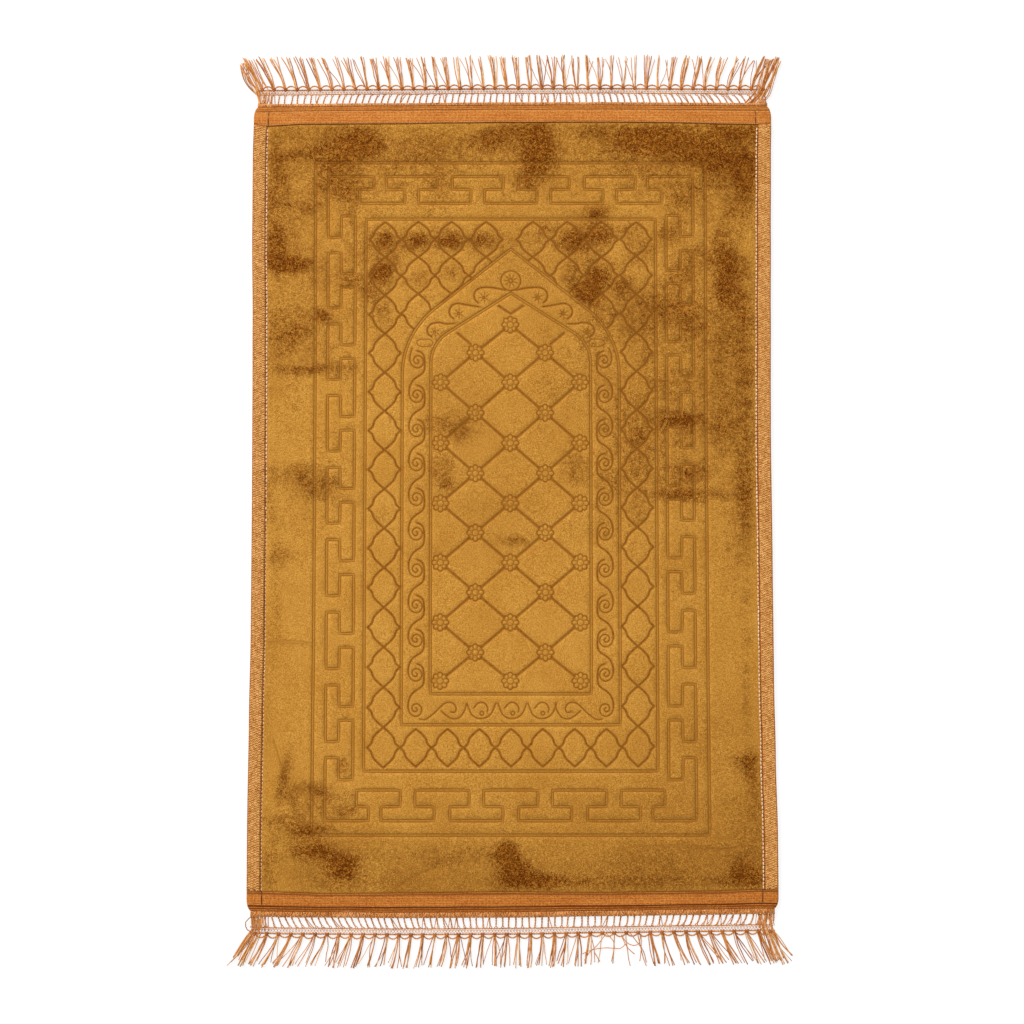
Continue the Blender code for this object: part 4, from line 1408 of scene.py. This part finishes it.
def make_end_tape(name, side, face, tone_value):
    """Woven tape folded over the end, its own ends turned in."""
    grooves = TAPE_GROOVES[name]
    levels = tape_levels(grooves, face)
    columns = tape_columns()
    bm = bmesh.new()
    pressed_shade_layer = bm.verts.layers.float.new("pressed")
    tone_layer = bm.verts.layers.float.new("tone")
    bmesh.ops.create_grid(bm, x_segments=len(columns) - 1, y_segments=len(levels) - 1,
                          size=0.5)
    for vert in bm.verts:
        u = columns[round((vert.co.x + 0.5) * (len(columns) - 1))]
        inset = levels[round((0.5 - vert.co.y) * (len(levels) - 1))]
        x = u * tape_outline_x(inset)
        depth, dark = tape_pressed(grooves, u * (HALF_WIDTH - TAPE_ROLL), inset)
        wander = noise.noise((x / TAPE_WAVE, side * 5.0, 0.0)) * 0.8
        y = HALF_LENGTH - inset - (wander if inset < face - 1 else wander * 0.2)
        swell = noise.noise((x / 30, inset / 8, 4.0)) * 0.12
        vert.co = (x, side * y, TAPE_UPPER - depth + swell)
        vert[pressed_shade_layer] = dark
        vert[tone_layer] = tone_value * (3.0 if inset < OUTER_ROWS and side < 0 else 1.0)

    # The lower leg is the same outline; a rolled fold joins them on three sides.
    inner_y = HALF_LENGTH - face
    rim = tape_rim(bm, inner_y)
    lower = bmesh.ops.duplicate(bm, geom=bm.faces[:])["geom"]
    for vert in verts_in(lower):
        vert.co.z = TAPE_LOWER
        vert[pressed_shade_layer] = 0.0
    bmesh.ops.reverse_faces(bm, faces=[part for part in lower
                                       if isinstance(part, bmesh.types.BMFace)])
    lower_rim = [edge for edge in tape_rim(bm, inner_y)
                 if edge not in rim and all(v.co.z < 1 for v in edge.verts)]
    rolled = bmesh.ops.bridge_loops(bm, edges=rim + lower_rim)["edges"]
    cut = bmesh.ops.subdivide_edges(bm, edges=rolled, cuts=5)["geom_inner"]
    round_fold(set(verts_in(cut)), side, tone_layer, tone_value)
    bmesh.ops.recalc_face_normals(bm, faces=bm.faces)
    return make_piece(name + "_weave", thickened(bm), (TAPE,), name)


# ---- Fringes ----

# Each fringe's depths outwards from the tape. Leans: how far the tassels' tips stray sideways
# from the left end to the right one. Slants: the same for the ladder's threads.
Fringe = namedtuple("Fringe", "name side heading ladder band strand leans slants")
FRINGES = (
    Fringe("fringe_top", 1, 3.6, 11.9, 6.2, 43.0,
           table_of(Stray, (-1.0, -18), (-0.85, -15), (-0.7, -12), (-0.5, -7), (0.0, -5),
                    (0.3, -1), (0.55, 1), (0.65, 8), (0.85, 11), (1.0, 18)),
           table_of(Stray, (-1.0, 0.5), (-0.85, 2), (-0.7, 5), (-0.5, 5), (-0.2, 2.5),
                    (0.0, 1), (0.3, -2), (0.5, -4), (0.75, -8), (0.9, -10), (1.0, -2))),
    Fringe("fringe_bottom", -1, 6.4, 13.0, 7.4, 41.0,
           table_of(Stray, (-1.0, -18), (-0.8, -18), (-0.65, -10), (-0.3, -7), (0.0, -1),
                    (0.35, -4), (0.5, 8), (0.65, 14), (0.8, 18), (1.0, 17)),
           table_of(Stray, (-1.0, 1), (-0.85, 7), (-0.7, 8), (-0.45, 5), (-0.2, 2), (0.0, 0),
                    (0.25, -1), (0.5, -3), (0.75, -6), (0.9, -6), (1.0, -1))),
)
HEADING_HALF = 320.0
HEADING_STITCH = (2.0, 1.3, 1.3)
BAND_HALF = HEADING_HALF - 1.0
# The ladder's threads run on under the heading; a few have a thinner second thread.
LADDER_THREADS = 80
LADDER_OVERLAP = 1.0
DOUBLED_SHARE = 0.14
# Twisted threads: the length of a turn, and the spacing of a long rope's points.
TWIST_PITCH = 4.2
ROPE_STEP = 1.1
TIE_PITCH = 3.75
# Tassels, the share of their strands that stray, and the loops between their knots.
TASSELS = 44
TASSEL_PITCH = 2 * (BAND_HALF - 4.0) / (TASSELS - 1)
STRAY_SHARE = 0.24
KNOT = (4.6, 2.6, 3.0)
KNOT_SIDE = (2.4, 1.7, 2.0)
KNOT_FOOT = (2.6, 4.2, 3.0)
LOOP_RISE = 4.8
# Where the bottom fringe has lost most of its tassels' strands.
WORN_FROM = 104
WORN_TO = 162
# The yarns' places among the fringe's materials.
PLAIN, PALE, DEEP = 1, 2, 3

# Thick bundles at the corners: where their threads start, pass the chain and end.
Bundle = namedtuple("Bundle", "fringe threads start chain tip")
BUNDLES = table_of(
    Bundle,
    ("fringe_top", 11, ((-319, 3), (-309, 3)), ((-322, 17), (-306, 19)),
     ((-343, 54), (-326, 62))),
    ("fringe_top", 11, ((294, 3), (312, 3)), ((308, 16), (318, 19)), ((318, 61), (338, 58))),
    ("fringe_bottom", 10, ((-318, 7), (-306, 7)), ((-318, 21), (-306, 23)),
     ((-341, 56), (-322, 64))),
    ("fringe_bottom", 10, ((300, 7), (316, 7)), ((302, 21), (318, 23)), ((314, 66), (340, 57))),
)

# Loose threads, at the corners and where tassels are missing: places across, and out from
# the rug's end.
LOOSE_THREADS = {
    "fringe_top": (((-319, 14), (-331, 25), (-339, 38), (-343, 55)),
                   ((-318, 16), (-328, 24), (-336, 36), (-339, 57)),
                   ((-318, 3), (-322, 22), (-333, 36), (-335, 58)),
                   ((306, 4), (318, 17), (326, 34), (330, 59)),
                   ((312, 3), (323, 14), (329, 32), (336, 56)),
                   ((298, 4), (309, 16), (317, 35), (325, 60)),
                   ((292, 3), (306, 19), (313, 38), (321, 61)),
                   ((302, 4), (313, 18), (318, 40), (328, 61))),
    "fringe_bottom": (((-319, 7), (-326, 14), (-324, 23), (-315, 27)),
                      ((-313, 6), (-310, 18), (-318, 30), (-335, 55)),
                      ((-306, 6), (-309, 20), (-316, 38), (-333, 61)),
                      ((-318, 7), (-314, 18), (-322, 34), (-341, 57)),
                      ((304, 7), (301, 20), (312, 38), (322, 64)),
                      ((300, 6), (306, 22), (313, 42), (319, 62)),
                      ((307, 7), (309, 22), (316, 40), (327, 63)),
                      ((314, 7), (316, 22), (327, 42), (341, 57)),
                      ((311, 8), (305, 22), (309, 41), (315, 61)),
                      ((114.9, 28), (103.2, 42.9), (93.5, 51.6), (88.1, 60.4)),
                      ((114.9, 28), (123.7, 37.6), (124.6, 44.6), (121, 62.1)),
                      ((85.5, 52.5), (99.7, 47.2), (115.7, 45.5), (131.7, 46.4), (138, 41)),
                      ((133.5, 30.6), (137.1, 39.4), (142.3, 47.2), (149.4, 53.4)),
                      ((133.5, 29.7), (138.8, 38.5), (147.7, 42.9), (154.8, 40.2), (156.6, 29)),
                      ((142.3, 25.4), (151.3, 37.6), (160.1, 49.9), (163.7, 63.9)),
                      ((99.7, 49.9), (106.8, 62.1)),
                      ((157.4, 28.9), (157.4, 48.1), (155.7, 62.1))),
}


def twisted(threads, points, radius, pitch, start=0.0, flare=0.0):
    """Two thin threads laid round each other along a line; they part by flare at its end."""
    last = len(points) - 1
    ply_radius = radius * 0.6
    for ply in (0, math.pi):
        line = []
        travelled = 0.0
        for n, here in enumerate(points):
            parted = flare * max(0.0, n / last - 0.72) / 0.28
            if n:
                travelled += (here - points[n - 1]).length
            way = (points[min(n + 1, last)] - points[max(n - 1, 0)]).normalized()
            across = Vector((-way.y, way.x, 0.0))
            angle = math.tau * travelled / pitch + ply + start
            line.append(here + across * parted * (-1 if ply else 1)
                        + ply_radius * (across * math.cos(angle)
                                        + Vector((0, 0, 1)) * math.sin(angle)))
        threads.add(line, ply_radius)


# Rows of the heading's stitches: a place between its edges, from 0 to 1, the yarn, the pitch.
Row = namedtuple("Row", "place yarn pitch")
HEADING_ROWS = {
    "fringe_top": table_of(Row, (0.28, PALE, 3.7), (0.28, PLAIN, 5.9), (0.75, PALE, 3.1),
                           (0.7, DEEP, 8.3)),
    "fringe_bottom": table_of(Row, (0.12, DEEP, 3.1), (0.12, PALE, 8.9), (0.37, DEEP, 4.3),
                              (0.4, PLAIN, 5.3), (0.62, DEEP, 3.7), (0.64, PALE, 6.1),
                              (0.88, DEEP, 5.1), (0.9, PALE, 4.7)),
}


class FringeMaker:
    """Makes one fringe, row by row, outwards from the tape."""

    def __init__(self, fringe):
        self.fringe = fringe
        self.bm = bmesh.new()
        self.heading_y = HALF_LENGTH + GAP
        self.ladder_y = self.heading_y + fringe.heading
        self.band_y = self.ladder_y + fringe.ladder
        self.root_y = self.band_y + fringe.band
        random.seed(len(fringe.name))

    def spot(self, x, y, z):
        """A place, with y outwards from the rug's middle."""
        return Vector((x, self.fringe.side * y, z))

    def add_heading(self):
        """A woven band under rows of slanting stitches."""
        depth = self.fringe.heading
        core = bmesh.new()
        bmesh.ops.create_cube(core, size=1.0)
        bmesh.ops.scale(core, vec=(2 * HEADING_HALF, depth, 3.4), verts=core.verts)
        bmesh.ops.translate(core, vec=self.spot(0.0, self.heading_y + depth / 2, 1.9),
                            verts=core.verts)
        along = [edge for edge in core.edges
                 if abs(edge.verts[0].co.x - edge.verts[1].co.x) > 1.0]
        bmesh.ops.subdivide_edges(core, edges=along, cuts=60, use_grid_fill=True)
        join(self.bm, core, PLAIN)
        for number, row in enumerate(HEADING_ROWS[self.fringe.name]):
            stitches = bmesh.new()
            start = self.spot(-HEADING_HALF + 1.5 + 1.1 * (number % 3),
                              self.heading_y + depth * row.place, 3.7)
            add_blob(stitches, start, HEADING_STITCH, math.radians(35 if number % 2 else -35),
                     5)
            stitches = repeated(stitches, int(2 * HEADING_HALF / row.pitch) - 1,
                                (row.pitch, 0.0, 0.0))
            for vert in stitches.verts:
                vert.co += noise.noise_vector(vert.co / 5.3) * 0.9
            join(self.bm, stitches, row.yarn)

    def add_ladder(self):
        """Slanting twisted threads between the heading and the chain, and loose ones."""
        ladder = Threads()
        pitch = 2 * BAND_HALF / (LADDER_THREADS - 1)
        start_y = self.ladder_y - LADDER_OVERLAP
        for number in range(LADDER_THREADS):
            x = -HEADING_HALF + 1.0 + pitch * number
            slant = between(self.fringe.slants, x / HEADING_HALF) + random.uniform(-0.9, 0.9)
            bow = random.uniform(-0.6, 0.6) - slant * 0.12
            doubled = random.random() < DOUBLED_SHARE
            for strand in range(2 if doubled else 1):
                line = []
                lean = slant + strand * random.choice((-5.0, 5.0))
                for step in range(12):
                    share = step / 11
                    line.append(self.spot(x + lean * share + bow * math.sin(math.pi * share),
                                          start_y + (self.fringe.ladder + 1.8) * share,
                                          1.2 + 0.7 * strand))
                twisted(ladder, line, 1.1 if strand == 0 else 0.6, TWIST_PITCH,
                        random.uniform(0, 6), 0.0 if strand else 1.5)
        for side in (-1, 1):
            for number in range(9):
                x = side * (HEADING_HALF - 1.5 - number * 2.3 - random.uniform(0, 1.5))
                lean = random.uniform(-4, 4) - side * 1.0
                line = []
                for step in range(9):
                    share = step / 8
                    line.append(self.spot(x + lean * share + 1.2 * math.sin(2.4 * share + x),
                                          start_y + (self.fringe.ladder + 5.0) * share, 1.9))
                ladder.add(line, random.uniform(0.4, 0.75))
        join(self.bm, ladder.mesh(), PLAIN)

    def add_chain(self):
        """Ropes laid across the ladder's end, and thin threads on to the knots."""
        for offset, radius, pitch, yarn in ((0.5, 0.8, 3.7, PLAIN), (2.9, 0.45, 3.0, PALE)):
            rope = Threads()
            line = [self.spot(-BAND_HALF + step * ROPE_STEP,
                              self.band_y + offset
                              + 0.35 * noise.noise((step * 0.16, offset, 1.0)), 1.3)
                    for step in range(int(2 * BAND_HALF / ROPE_STEP))]
            twisted(rope, line, radius, pitch)
            join(self.bm, rope.mesh(), yarn)
        ties = Threads()
        for number in range(int(2 * BAND_HALF / TIE_PITCH)):
            x = -BAND_HALF + TIE_PITCH * (number + 0.5)
            for way in (-1, 1):
                ties.add([self.spot(x - way * 1.5, self.band_y + 1.0, 0.9 + 0.2 * way),
                          self.spot(x + way * 1.5, self.root_y - 1.2, 0.9 + 0.2 * way)], 0.27)
        join(self.bm, ties.mesh(), PLAIN)

    def add_knots(self):
        """A rope with a knot at each tassel's root, and loops from knot to knot."""
        cord = Threads()
        line = [self.spot(-BAND_HALF + step * ROPE_STEP, self.root_y, 1.25)
                for step in range(int(2 * BAND_HALF / ROPE_STEP))]
        twisted(cord, line, 1.15, TWIST_PITCH)
        join(self.bm, cord.mesh(), PLAIN)
        knots = bmesh.new()
        loops = Threads()
        for number in range(TASSELS):
            middle = (number - (TASSELS - 1) / 2) * TASSEL_PITCH
            for side, turn in ((-1, 0.7), (1, -0.7)):
                add_blob(knots, self.spot(middle + side * 0.8, self.root_y - 0.3, 2.0), KNOT,
                         turn + random.uniform(-0.2, 0.2), 6, 5)
                add_blob(knots, self.spot(middle + side * TASSEL_PITCH * 0.32, self.root_y, 1.4),
                         KNOT_SIDE, turn)
            add_blob(knots, self.spot(middle, self.root_y + 1.5, 2.0), KNOT_FOOT,
                     random.uniform(-0.2, 0.2), 6, 5)
            if number:
                self.add_loop(loops, middle - TASSEL_PITCH)
        join(self.bm, knots, DEEP)
        join(self.bm, loops.mesh(), PLAIN)

    def add_loop(self, loops, left):
        """A twisted thread arched from one knot to the next."""
        rise = LOOP_RISE * random.uniform(0.85, 1.1)
        flatness = random.uniform(0.45, 0.65)
        points = []
        for step in range(14):
            share = step / 13
            arch = math.sin(math.pi * share)
            points.append(self.spot(left + 0.8 + (TASSEL_PITCH - 1.6) * share,
                                    self.root_y + 0.3 + rise * arch ** flatness,
                                    1.1 + 0.4 * arch))
        twisted(loops, points, 1.05, 3.6, random.uniform(0, 6))

    def add_tassel(self, yarns, number):
        """Strands that spread from one knot: most lie close, a few stray."""
        middle = (number - (TASSELS - 1) / 2) * TASSEL_PITCH
        place = middle / BAND_HALF
        lean = between(self.fringe.leans, place) + random.uniform(-1.5, 1.5)
        count = random.choice((4, 5, 6, 6)) + (2 if abs(place) > 0.93 else 0)
        spread = random.uniform(3.0, 7.0)
        if self.fringe.side < 0 and WORN_FROM < middle < WORN_TO:
            count = 1
        for strand in range(count):
            share = (strand + 0.5) / count * 2 - 1
            stray = random.random() < STRAY_SHARE
            reach = self.fringe.strand * random.uniform(0.88, 1.0)
            tip = lean + share * spread + random.uniform(-1.4, 1.4)
            if stray:
                tip += random.choice((-1, 1)) * random.uniform(4, 11)
                reach *= random.uniform(0.86, 0.98)
            curl = random.uniform(-1.6, 1.6) + (random.uniform(-2, 2) if stray else 0)
            z = 0.75 + 0.55 * (strand % 3)
            line = []
            for step in range(13):
                t = step / 12
                x = middle + share * 1.6 + (tip - share * 1.6) * t ** 1.2
                x += curl * math.sin(math.pi * t) + 0.8 * noise.noise(
                    (number * 3.3 + strand, t * 3.5, 2.0))
                line.append(self.spot(x, self.root_y + 0.5 + reach * t, z))
            yarn = random.choice((PLAIN, PLAIN, PLAIN, PLAIN, PALE, DEEP))
            thick = random.uniform(0.45, 0.6) if stray else random.uniform(0.55, 0.8)
            yarns[yarn].add(line, thick, thick * 0.88)

    def add_bundle(self, yarns, bundle):
        """Threads that keep roughly beside each other from a corner of the heading."""
        for _ in range(bundle.threads):
            share = random.random()
            line = []
            for low, high in (bundle.start, bundle.chain, bundle.tip):
                share = min(1.0, max(0.0, share + random.uniform(-0.25, 0.25)))
                line.append(Vector(low).lerp(Vector(high), share))
            line.insert(2, line[1].lerp(line[2], 0.4)
                        + Vector((random.uniform(-1.5, 1.5), 0.0)))
            z = random.uniform(1.2, 2.6)
            yarns[random.choice((PLAIN, PLAIN, PALE))].add(
                [self.spot(p.x, HALF_LENGTH + p.y, z) for p in smooth(line, 4.0)],
                random.uniform(0.45, 0.65))

    def add_loose_thread(self, yarns, points):
        """A thread along given points; at the corners a second one lies beside it."""
        for copy in range(2 if abs(points[0][0]) > 200 else 1):
            offset = random.uniform(-2.2, 2.2) * copy
            line = smooth([(x + offset, y) for x, y in points], 5.0)
            yarns[random.choice((PLAIN, PLAIN, DEEP))].add(
                [self.spot(p.x, HALF_LENGTH + p.y, 1.6 + 0.4 * copy) for p in line], 0.55)

    def add_tassels(self):
        """The tassels, the bundles at the corners and the loose threads."""
        yarns = {yarn: Threads(1) for yarn in (PLAIN, PALE, DEEP)}
        for number in range(TASSELS):
            self.add_tassel(yarns, number)
        for bundle in BUNDLES:
            if bundle.fringe == self.fringe.name:
                self.add_bundle(yarns, bundle)
        for points in LOOSE_THREADS[self.fringe.name]:
            self.add_loose_thread(yarns, points)
        for yarn, threads in yarns.items():
            join(self.bm, threads.mesh(), yarn)

    def make(self):
        self.add_heading()
        self.add_ladder()
        self.add_chain()
        self.add_knots()
        self.add_tassels()
        bmesh.ops.recalc_face_normals(self.bm, faces=self.bm.faces)
        name = self.fringe.name
        make_piece(name + "_threads", self.bm, (TAPE, YARN, PALE_YARN, DEEP_YARN), name)


# ---- The rug ----

velvet = make_velvet()
binding_left = make_side_binding("side_binding_left", -1)
binding_right = make_side_binding("side_binding_right", 1)
tape_top = make_end_tape("end_tape_top", 1, TAPE_FACE_TOP, 0.0)
tape_bottom = make_end_tape("end_tape_bottom", -1, TAPE_FACE_BOTTOM, 0.55)
add_tape_stitches("end_tape_top", 1, (TAPE_FACE_TOP - 0.9, 7.6))
for fringe in FRINGES:
    FringeMaker(fringe).make()


# ---- Floor, light and camera ----

def make_floor():
    """A plain pale floor, just under the rug."""
    bm = bmesh.new()
    bmesh.ops.create_grid(bm, x_segments=8, y_segments=8, size=4.0)
    mesh = bpy.data.meshes.new("floor")
    bm.to_mesh(mesh)
    bm.free()
    floor = bpy.data.objects.new("floor", mesh)
    floor.location.z = -0.0005
    bpy.context.scene.collection.objects.link(floor)
    look = Look("pale_floor", {"Base Color": (0.2, 0.2, 0.2, 1.0), "Roughness": 0.9,
                               "Specular IOR Level": 0.1, "Emission Strength": 0.8,
                               "Emission Color": (1.0, 1.0, 1.0, 1.0)})
    mesh.materials.append(look.material)


def make_light(name, place, size, power):
    """A square soft light, aimed at the rug."""
    light = bpy.data.lights.new(name, "AREA")
    light.shape = "SQUARE"
    light.size = size
    light.energy = power
    lamp = bpy.data.objects.new(name, light)
    lamp.location = place
    lamp.rotation_euler = (-Vector(place)).to_track_quat("-Z", "Y").to_euler()
    bpy.context.scene.collection.objects.link(lamp)


def make_sky(strength):
    """Even white light from all round."""
    world = bpy.data.worlds.new("studio")
    world.use_nodes = True
    background = world.node_tree.nodes["Background"]
    background.inputs["Color"].default_value = (1.0, 1.0, 1.0, 1.0)
    background.inputs["Strength"].default_value = strength
    bpy.context.scene.world = world


def make_camera():
    """Looks down on the rug from a little beyond its lower end."""
    lens = bpy.data.cameras.new("camera")
    lens.sensor_width = 36.0
    camera = bpy.data.objects.new("camera", lens)
    bpy.context.scene.collection.objects.link(camera)
    distance = 1.5
    tilt = math.radians(2.245)
    aim = Vector((-0.0006, -0.0070, 0.0))
    lens.lens = 42.45
    lens.clip_end = 50.0
    camera.location = aim + distance * Vector((0.0, -math.sin(tilt), math.cos(tilt)))
    camera.rotation_euler = (tilt, 0.0, 0.0)
    bpy.context.scene.camera = camera


make_floor()
make_sky(0.66)
make_light("key", (-3.8, 4.2, 3.3), 2.9, 500.0)
make_light("fill", (1.8, -1.2, 2.4), 2.5, 12.0)
make_camera()
bpy.context.scene.view_settings.view_transform = "Standard"
